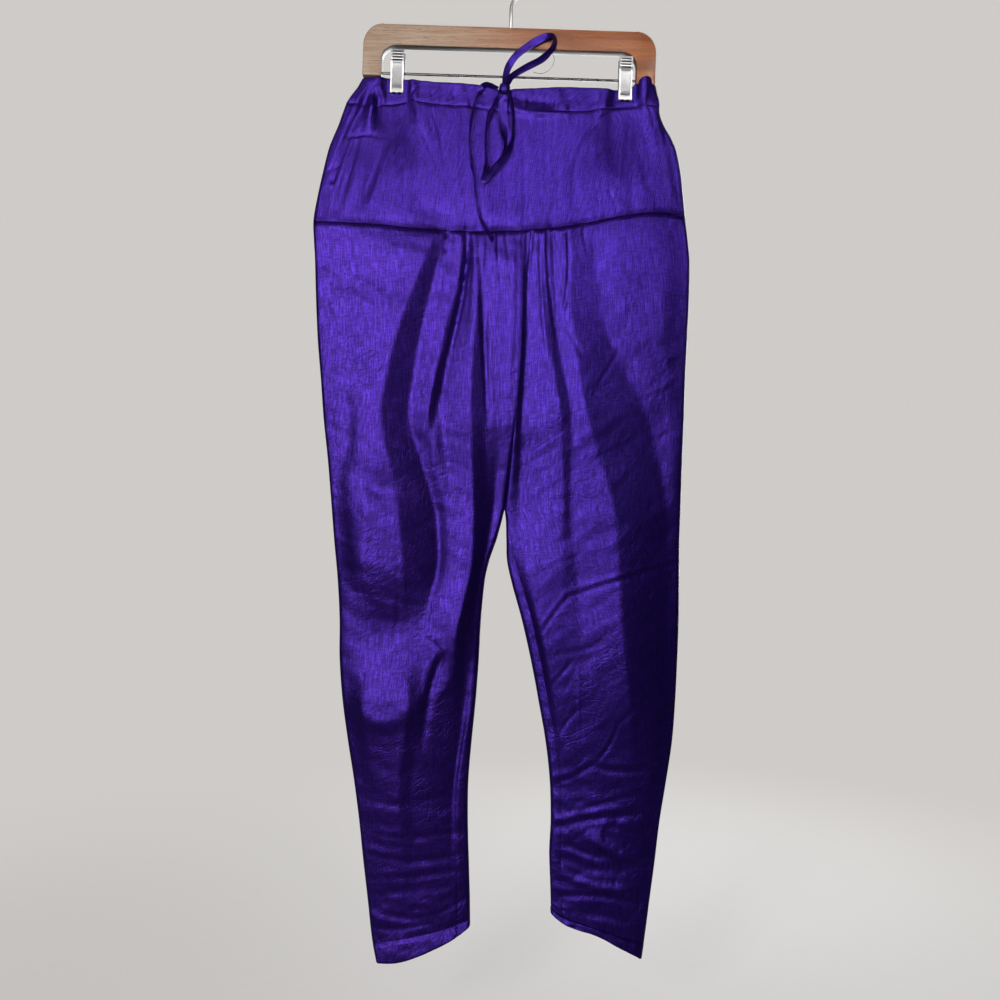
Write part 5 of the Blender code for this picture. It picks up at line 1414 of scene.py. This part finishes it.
def build_spring(side, place):
    """The coil between the jaws."""
    turns, wire, radius, width = 6, 0.6, 3.0, 8.2
    count = turns * 20
    path = []
    for index in range(count + 1):
        angle = 2 * math.pi * turns * index / count
        path.append(spot(place - width / 2 + width * index / count, radius * math.cos(angle),
                         ROD_DROP - radius * math.sin(angle)))
    piece = closed_tube("clip_%s_coil" % side, wire_rings(path, wire * MM, 10, Vector((1, 0, 0))))
    tilt_piece(piece)
    return finish_piece(piece, "spring wire", ("clip_%s_spring" % side,))


def build_bar():
    """The wooden bar: an arch cut from one board, with rounded shoulders, two feet and soft edges."""
    y, near = BAR_DEPTH / 2, 0.1 * MM
    piece = box_piece("wooden_bar", (BAR_MIDDLE - BAR_HALF, -y, 0), (BAR_MIDDLE + BAR_HALF, y, BAR_HEIGHT))
    inner = BAR_HALF - FOOT_WIDTH
    for x in (BAR_MIDDLE - inner, BAR_MIDDLE + inner):
        cut(piece, spot(x, 0, 0), (1, 0, 0))
    editing(piece, lambda co, n: n.z < -0.9 and abs(co.x - BAR_MIDDLE * MM) > inner * MM, "faces")
    extrude((0, 0, (BAR_HEIGHT - FOOT_DROP) * MM))
    for drop, from_middle, radius, segments in ((0, BAR_HALF, BAR_OUTER_RADIUS, 14),
                                                (BAR_HEIGHT, inner, BAR_INNER_RADIUS, 10)):
        level = spot(0, 0, drop).z
        editing(piece, lambda co, run: abs(run.y) > abs(run.x) + abs(run.z) and abs(co.z - level) < near
                and abs(abs(co.x - BAR_MIDDLE * MM) - from_middle * MM) < near, "edges")
        bpy.ops.mesh.bevel(offset=radius * MM, segments=segments, affect="EDGES", profile=0.5,
                           clamp_overlap=False)
    done_editing()
    bevel_piece(piece, 1.9 * MM, 3, 50)
    finish_piece(piece, "lacquered wood", ("hanger_bar",))
    # Faces under the arch that don't face front or back take the darkened wood: painted shade along the
    # arch's unlit underside.
    piece.data.materials.append(bpy.data.materials["stained edge"])
    for polygon in piece.data.polygons:
        under_arch = (abs(polygon.center.x / MM - BAR_MIDDLE) < inner + 1
                      and polygon.center.z < spot(0, 0, 5).z and abs(polygon.normal.y) < 0.6)
        polygon.material_index = int(under_arch)
    tilt_piece(piece)
    return piece


def build_hook():
    """The wire hook, drawn from a circle: straight up, out to the right, and round over the crown."""
    reach = math.radians(60)
    crown_z = (WIRE_RADIUS - HOOK_RADIUS) * MM
    swing = HOOK_RADIUS * MM * math.cos(reach) / (1 - math.cos(reach))
    bend_z = crown_z - (swing + HOOK_RADIUS * MM) * math.sin(reach)
    foot_z = spot(0, 0, -GAP).z
    bpy.ops.object.select_all(action="DESELECT")
    bpy.ops.mesh.primitive_circle_add(vertices=16, radius=WIRE_RADIUS * MM, fill_type="NGON",
                                      location=(0, 0, foot_z))
    piece = bpy.context.object
    piece.name = "wire_hook"
    bpy.ops.object.transform_apply(location=True, rotation=True, scale=True)
    editing(piece, lambda co, n: True, "faces")
    bpy.ops.mesh.extrude_region_move(TRANSFORM_OT_translate={"value": (0, 0, bend_z - foot_z)})
    bpy.ops.mesh.spin(steps=9, angle=-reach, center=(swing, 0, bend_z), axis=(0, 1, 0))
    bpy.ops.mesh.spin(steps=30, angle=reach + math.radians(205), center=(0, 0, crown_z), axis=(0, 1, 0))
    editing(piece, lambda co, n: True, "verts")
    bpy.ops.mesh.remove_doubles(threshold=0.00002)
    editing(piece, lambda co, n: True, "faces")
    bpy.ops.mesh.normals_make_consistent(inside=False)
    done_editing()
    bevel_piece(piece, 0.6 * MM, 3, 60)
    return finish_piece(piece, "wire", ("hanger_hook",))


def stitches(name, x, drop, depth_at, face):
    """A sewn line: short raised stitches of thread along places on the cloth, each an own small form."""
    pitch, length, half = 2.6, 1.9, 0.22
    section = ((0.0, -1.0), (0.75, -0.3), (0.75, 0.5), (0.0, 1.0), (-0.75, 0.5), (-0.75, -0.3))
    along = table("place out size", (-0.5, 0.02, 0.35), (-0.25, 0.26, 1.0), (0.25, 0.26, 1.0),
                  (0.5, 0.02, 0.35))
    steps = np.linalg.norm(np.diff(np.stack((x, drop), axis=-1), axis=0), axis=1)
    run = np.concatenate(([0], np.cumsum(steps)))
    sign, sides = -1 if face == "front" else 1, len(section)
    verts, faces = [], []
    for index in range(int(run[-1] / pitch)):
        ends = (index + 0.5) * pitch + np.array([row.place for row in along]) * length
        at_x, at_drop = np.interp(ends, run, x), np.interp(ends, run, drop)
        depth = depth_at(at_x, at_drop)
        ahead = np.array((at_x[-1] - at_x[0], at_drop[-1] - at_drop[0]))
        ahead = ahead / np.linalg.norm(ahead)
        first = len(verts)
        for end, row in enumerate(along):
            for across, up in section:
                verts.append(spot(at_x[end] - ahead[1] * across * half * row.size,
                                  sign * (depth[end] + row.out + up * half * row.size),
                                  at_drop[end] + ahead[0] * across * half * row.size))
        for ring in range(len(along) - 1):
            low = first + sides * ring
            for k in range(sides):
                beside = (k + 1) % sides
                faces.append((low + k, low + beside, low + sides + beside, low + sides + k))
        faces.append(tuple(range(first, first + sides)))
        faces.append(tuple(range(len(verts) - sides, len(verts))))
    mesh = bpy.data.meshes.new(name)
    mesh.from_pydata(verts, [], faces)
    mesh.uv_layers.new(name=CLOTH_MAP)
    piece = new_piece(name, mesh)
    editing(piece, lambda co, n: True, "faces")
    bpy.ops.mesh.normals_make_consistent(inside=False)
    done_editing()
    piece.data.shade_smooth()
    return finish_piece(piece, "sewing thread")


class SalwarCloth(bpy.types.PropertyGroup):
    """Sizes and colours of the cloth."""

    thickness: bpy.props.FloatProperty(
        name="Cloth thickness", description="Thickness of one layer of cloth", default=0.0005, min=0.0002,
        max=0.0012, unit="LENGTH", precision=5)
    thread: bpy.props.FloatProperty(
        name="Thread spacing", description="Distance from one thread of the weave to the next",
        default=0.0005, min=0.0002, max=0.002, unit="LENGTH", precision=5)
    crease_share: bpy.props.FloatProperty(
        name="Creases", description="Depth of every crease, as a share of the depth as built", default=1.0,
        min=0.0, max=1.5, subtype="FACTOR")
    deep_left: bpy.props.FloatVectorProperty(
        name="Dark threads, left", description="Colour of the darker threads on the left leg",
        default=(0.0085, 0.0018, 0.048), subtype="COLOR", min=0.0, max=1.0)
    deep_right: bpy.props.FloatVectorProperty(
        name="Dark threads, right", description="Colour of the darker threads on the right leg",
        default=(0.0075, 0.0018, 0.048), subtype="COLOR", min=0.0, max=1.0)
    bright_left: bpy.props.FloatVectorProperty(
        name="Bright threads, left", description="Colour of the brighter threads on the left leg",
        default=(0.038, 0.0112, 0.225), subtype="COLOR", min=0.0, max=1.0)
    bright_right: bpy.props.FloatVectorProperty(
        name="Bright threads, right", description="Colour of the brighter threads on the right leg",
        default=(0.034, 0.0108, 0.225), subtype="COLOR", min=0.0, max=1.0)
    sheen_colour: bpy.props.FloatVectorProperty(
        name="Sheen colour", description="Colour of the soft light along the folds",
        default=(0.45, 0.25, 1.0), subtype="COLOR", min=0.0, max=1.0)
    sheen: bpy.props.FloatProperty(
        name="Sheen", description="Strength of the soft light along the folds", default=0.03, min=0.0,
        max=1.0, subtype="FACTOR")
    metallic: bpy.props.FloatProperty(
        name="Lustre", description="How strongly the threads tint what they reflect", default=0.82, min=0.0,
        max=1.0, subtype="FACTOR")
    roughness: bpy.props.FloatProperty(
        name="Roughness", description="How soft the lustre is", default=0.33, min=0.15, max=0.9,
        subtype="FACTOR")


class SalwarHanger(bpy.types.PropertyGroup):
    """Colours of the hanger."""

    wood_deep: bpy.props.FloatVectorProperty(
        name="Dark grain", description="Colour of the darker grain", default=(0.14, 0.038, 0.010),
        subtype="COLOR", min=0.0, max=1.0)
    wood_bright: bpy.props.FloatVectorProperty(
        name="Bright grain", description="Colour of the brighter grain", default=(0.27, 0.084, 0.020),
        subtype="COLOR", min=0.0, max=1.0)
    # The colour of the painted reflection on the board's left end.
    wood_glare: bpy.props.FloatVectorProperty(
        name="Painted glare", description="Colour of the board's paler end", default=(0.31, 0.24, 0.175),
        subtype="COLOR", min=0.0, max=1.0)
    steel: bpy.props.FloatVectorProperty(
        name="Steel", description="Colour of the plated steel", default=(0.40, 0.40, 0.41),
        subtype="COLOR", min=0.0, max=1.0)
    steel_roughness: bpy.props.FloatProperty(
        name="Steel roughness", description="How brushed the steel is", default=0.40, min=0.1, max=0.6,
        subtype="FACTOR")


class SalwarStage(bpy.types.PropertyGroup):
    """Floor, light and camera."""

    floor_drop: bpy.props.FloatProperty(
        name="Floor", description="How far the floor lies below the hook's crown", default=1.24, min=1.16,
        max=2.5, unit="LENGTH")
    backdrop: bpy.props.FloatVectorProperty(
        name="Backdrop", description="Colour behind the object", default=(0.62, 0.60, 0.58),
        subtype="COLOR", min=0.0, max=1.0)
    key_power: bpy.props.FloatProperty(
        name="Main light", description="Power of the large soft light, in watts", default=56.0, min=0.0,
        max=500.0)
    back_power: bpy.props.FloatProperty(
        name="Back light", description="Power of the light behind the object, in watts", default=100.0,
        min=0.0, max=500.0)
    fill_power: bpy.props.FloatProperty(
        name="Side light", description="Power of the weaker light from the right, in watts", default=0.08,
        min=0.0, max=500.0)
    waist_power: bpy.props.FloatProperty(
        name="Waist light", description="Power of the narrow soft light on waist and hanger, in watts",
        default=0.5, min=0.0, max=50.0)
    ambient: bpy.props.FloatProperty(
        name="Room light", description="Strength of the light from all round", default=0.045,
        min=0.0, max=2.0)
    camera_distance: bpy.props.FloatProperty(
        name="Camera distance", description="From the camera to the middle of the salwar", default=1.2,
        min=0.8, max=5.0, unit="LENGTH")


class SALWAR_OT_stage(bpy.types.Operator):
    """Camera, soft lights and a pale floor"""

    bl_idname = "salwar.stage"
    bl_label = "Stage"

    def execute(self, context):
        stage = context.scene.salwar_stage
        scene = context.scene
        camera = bpy.data.objects.new("camera", bpy.data.cameras.new("camera"))
        scene.collection.objects.link(camera)
        view_width, roll = 1.14, math.radians(0.46)
        camera.data.sensor_width = 36.0
        camera.data.lens = 36.0 * stage.camera_distance / view_width
        camera.data.clip_end = 50.0
        camera.location = (-0.0082, -stage.camera_distance, -0.604)
        camera.rotation_euler = (math.radians(90), -roll, 0)
        scene.camera = camera
        scene.view_settings.view_transform = "Standard"
        scene.view_settings.look = "None"
        body, waist = (0, 0, -0.5), (0.07, 0, -0.13)
        lights = table(
            "name power place size aim spread colour",
            ("main light", stage.key_power, (-0.95, -2.1, -0.15), (0.5, 1.1), body, 180, (1, 0.97, 0.94)),
            ("side light", stage.fill_power, (1.5, -1.3, -0.2), (1.0, 1.0), body, 180, (0.88, 0.93, 1)),
            ("back light", stage.back_power, (0.8, 2.2, -0.1), (2.0, 1.6), body, 180, (0.95, 0.97, 1)),
            ("waist light", stage.waist_power, (0.62, -2, 0.22), (0.5, 0.4), waist, 20, (1, 0.98, 0.96)))
        for row in lights:
            light = bpy.data.lights.new(row.name, "AREA")
            light.shape, light.energy, light.color = "RECTANGLE", row.power, row.colour
            light.size, light.size_y = row.size
            light.spread = math.radians(row.spread)
            stand = bpy.data.objects.new(row.name, light)
            scene.collection.objects.link(stand)
            stand.location = row.place
            towards = Vector(row.aim) - Vector(row.place)
            stand.rotation_euler = towards.to_track_quat("-Z", "Y").to_euler()
            stand.visible_camera = False
        world = bpy.data.worlds.new("room")
        world.use_nodes = True
        scene.world = world
        nodes = Nodes(world.node_tree)
        room = world.node_tree.nodes["Background"]
        room.inputs["Color"].default_value = (0.92, 0.95, 1.0, 1.0)
        room.inputs["Strength"].default_value = stage.ambient
        seen = nodes.add("Background", {"Color": stage.backdrop, "Strength": 1.0})
        share = nodes.add("LightPath").outputs["Is Camera Ray"]
        mixed = nodes.add("MixShader", {0: share, 1: room.outputs[0], 2: seen.outputs[0]})
        world.node_tree.links.new(mixed.outputs[0], world.node_tree.nodes["World Output"].inputs[0])
        bpy.ops.object.select_all(action="DESELECT")
        bpy.ops.mesh.primitive_circle_add(vertices=96, radius=1.6, fill_type="NGON",
                                          location=(0, 0, -stage.floor_drop))
        floor = context.object
        floor.name = "floor"
        nodes, shader = new_material("pale floor")
        place = nodes.add("TexCoord").outputs["Object"]
        away = nodes.add("VectorMath", {0: place}, operation="LENGTH").outputs["Value"]
        grain = nodes.noise(place, 60.0, 3.0)
        colour = nodes.mix(grain, [0.66, 0.64, 0.62], [0.70, 0.68, 0.66])
        seen = nodes.add("LightPath").outputs["Is Camera Ray"]
        glow = nodes.mix(seen, [0.0, 0.0, 0.0], colour)
        colour = nodes.mix(seen, [0.12, 0.12, 0.12], [0.22, 0.21, 0.20])
        set_sockets(nodes, shader, Base_Color=colour, Roughness=0.8, Alpha=nodes.ramp(away, 1.5, 0.35),
                    Emission_Color=glow, Emission_Strength=0.5)
        floor.data.materials.append(bpy.data.materials["pale floor"])
        return {"FINISHED"}


class SALWAR_OT_drawstring(bpy.types.Operator):
    """The drawstring: knot, two loops, two free ends and a loose thread"""

    bl_idname = "salwar.drawstring"
    bl_label = "Drawstring"

    def execute(self, context):
        knot_x, knot_drop = KNOT
        knot_y = -float(height_across("front", knot_x, knot_drop)) - KNOT_HALF[1] - GAP
        knot = spot(knot_x, knot_y, knot_drop)
        build_knot(knot)
        loop = [spot(row.x, row.y, row.drop) for row in LOOP_UP]
        for name, points, rows, far_end, seed, folded in (
                ("loop_up", loop, LOOP_UP, "object", 21, 0.78),
                ("loop_down", on_cloth(LOOP_DOWN), LOOP_DOWN, "object", 22, 0.84),
                ("end_short", on_cloth(END_SHORT), END_SHORT, "bare", 23, 1.0),
                ("end_long", on_cloth(END_LONG), END_LONG, "bare", 24, 0.66)):
            tape("tie_" + name, points, [row.turn for row in rows], "drawstring_" + name,
                 seed, folded)
        path = smooth_route([spot(row.x, row.y, row.drop) for row in LOOSE_THREAD], 6)
        radius = 0.25 * MM
        rings = wire_rings(path, radius, 6, Vector((0, 1, 0)))
        thread = closed_tube("loose_thread", rings, map_width=0.002)
        finish_piece(thread, "sewing thread")
        return {"FINISHED"}


class SALWAR_OT_waist(bpy.types.Operator):
    """Casing and yoke, front and back"""

    bl_idname = "salwar.waist"
    bl_label = "Casing and yoke"

    def execute(self, context):
        for face, outward in (("front", (0, -1, 0)), ("back", (0, 1, 0))):
            casing = cloth_piece("casing_%s_cloth" % face, casing_points(face), outward)
            finish_piece(casing, "yoke cloth", ("casing_" + face,))
            yoke = cloth_piece("yoke_%s_cloth" % face, yoke_points(face), outward)
            finish_piece(yoke, "yoke cloth", ("yoke_" + face,))
        return {"FINISHED"}


class SALWAR_OT_legs(bpy.types.Operator):
    """Two pleated legs, each cut in one piece"""

    bl_idname = "salwar.legs"
    bl_label = "Legs"

    def execute(self, context):
        for side in ("left", "right"):
            points, along = leg_points(side)
            leg = cloth_piece("leg_%s_cloth" % side, points, (0, -1, 0), along=along)
            finish_piece(leg, side + " leg cloth", ("leg_" + side,))
        return {"FINISHED"}


class SALWAR_OT_hems(bpy.types.Operator):
    """Hem of each leg, folded up inside"""

    bl_idname = "salwar.hems"
    bl_label = "Hems"

    def execute(self, context):
        for side in ("left", "right"):
            hem = cloth_piece("hem_%s_cloth" % side, hem_points(side), (0, -1, 0), ring=True)
            finish_piece(hem, side + " leg cloth", ("hem_" + side,))
        return {"FINISHED"}


class SALWAR_OT_stitching(bpy.types.Operator):
    """Sewn lines of the casing and the hems"""

    bl_idname = "salwar.stitching"
    bl_label = "Stitching"

    def execute(self, context):
        x = np.linspace(-182, 168, 240)
        for face in ("front", "back"):
            drop = between(CASING_LINE, "drop", x) + 2.4
            stitches("casing_stitches_" + face, x, drop, lambda a, b: height_across(face, a, b), face)
            for side in ("left", "right"):
                middle = HEM_DROP + 10
                inner, outer = inner_edge(side, middle), outer_edge(side, middle)
                places = np.linspace(inner + 0.10 * (outer - inner), inner + 0.90 * (outer - inner), 60)
                top = between(BAND_TOP[side], "drop", places) + GAP / 2
                long = between(HEM_LINE[side], "drop", places) - 0.9 - top
                order = np.argsort(places)

                def depth_at(a, b):
                    start = np.interp(a, places[order], top[order])
                    share = np.clip((b - start) / np.interp(a, places[order], long[order]), 0, 1)
                    return hem_depth(side, face, a, b, share) - 0.12

                stitches("hem_stitches_%s_%s" % (side, face), places, top + 2.4, depth_at, face)
        return {"FINISHED"}


class SALWAR_OT_hanger(bpy.types.Operator):
    """Wooden bar, steel rod and wire hook"""

    bl_idname = "salwar.hanger"
    bl_label = "Hanger"

    def execute(self, context):
        build_bar()
        build_hook()
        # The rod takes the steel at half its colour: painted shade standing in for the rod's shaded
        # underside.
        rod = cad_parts["hanger_rod"]
        rod.data.materials.clear()
        rod.data.materials.append(bpy.data.materials["rod wire"])
        return {"FINISHED"}


class SALWAR_OT_clips(bpy.types.Operator):
    """Two spring clips on the rod"""

    bl_idname = "salwar.clips"
    bl_label = "Clips"

    def execute(self, context):
        for side, place in CLIP_PLACES.items():
            for face in ("front", "back"):
                build_jaw(side, face, place)
            build_spring(side, place)
        return {"FINISHED"}


class SALWAR_PT_pieces(bpy.types.Panel):
    """Lists the pieces and their sizes and colours"""

    bl_idname = "SALWAR_PT_pieces"
    bl_label = "Salwar"
    bl_space_type = "VIEW_3D"
    bl_region_type = "UI"
    bl_category = "Salwar"

    def draw(self, context):
        scene = context.scene
        for settings, title in ((scene.salwar_cloth, "Cloth"), (scene.salwar_hanger, "Hanger"),
                                (scene.salwar_stage, "Stage")):
            box = self.layout.box()
            box.label(text=title)
            for name in settings.__annotations__:
                box.prop(settings, name)
        for operator in OPERATORS:
            self.layout.operator(operator.bl_idname)


SETTINGS = (SalwarCloth, SalwarHanger, SalwarStage)
OPERATORS = (SALWAR_OT_stage, SALWAR_OT_drawstring, SALWAR_OT_hanger, SALWAR_OT_clips, SALWAR_OT_waist,
             SALWAR_OT_legs, SALWAR_OT_hems, SALWAR_OT_stitching)


def register():
    for item in SETTINGS + OPERATORS + (SALWAR_PT_pieces,):
        bpy.utils.register_class(item)
    bpy.types.Scene.salwar_cloth = bpy.props.PointerProperty(type=SalwarCloth)
    bpy.types.Scene.salwar_hanger = bpy.props.PointerProperty(type=SalwarHanger)
    bpy.types.Scene.salwar_stage = bpy.props.PointerProperty(type=SalwarStage)


def unregister():
    for name in ("salwar_cloth", "salwar_hanger", "salwar_stage"):
        delattr(bpy.types.Scene, name)
    for item in reversed(SETTINGS + OPERATORS + (SALWAR_PT_pieces,)):
        bpy.utils.unregister_class(item)


def main():
    register()
    make_materials()
    bpy.ops.salwar.stage()
    bpy.ops.salwar.drawstring()
    bpy.ops.salwar.hanger()
    bpy.ops.salwar.clips()
    bpy.ops.salwar.waist()
    bpy.ops.salwar.legs()
    bpy.ops.salwar.hems()
    bpy.ops.salwar.stitching()


if __name__ == "__main__":
    main()
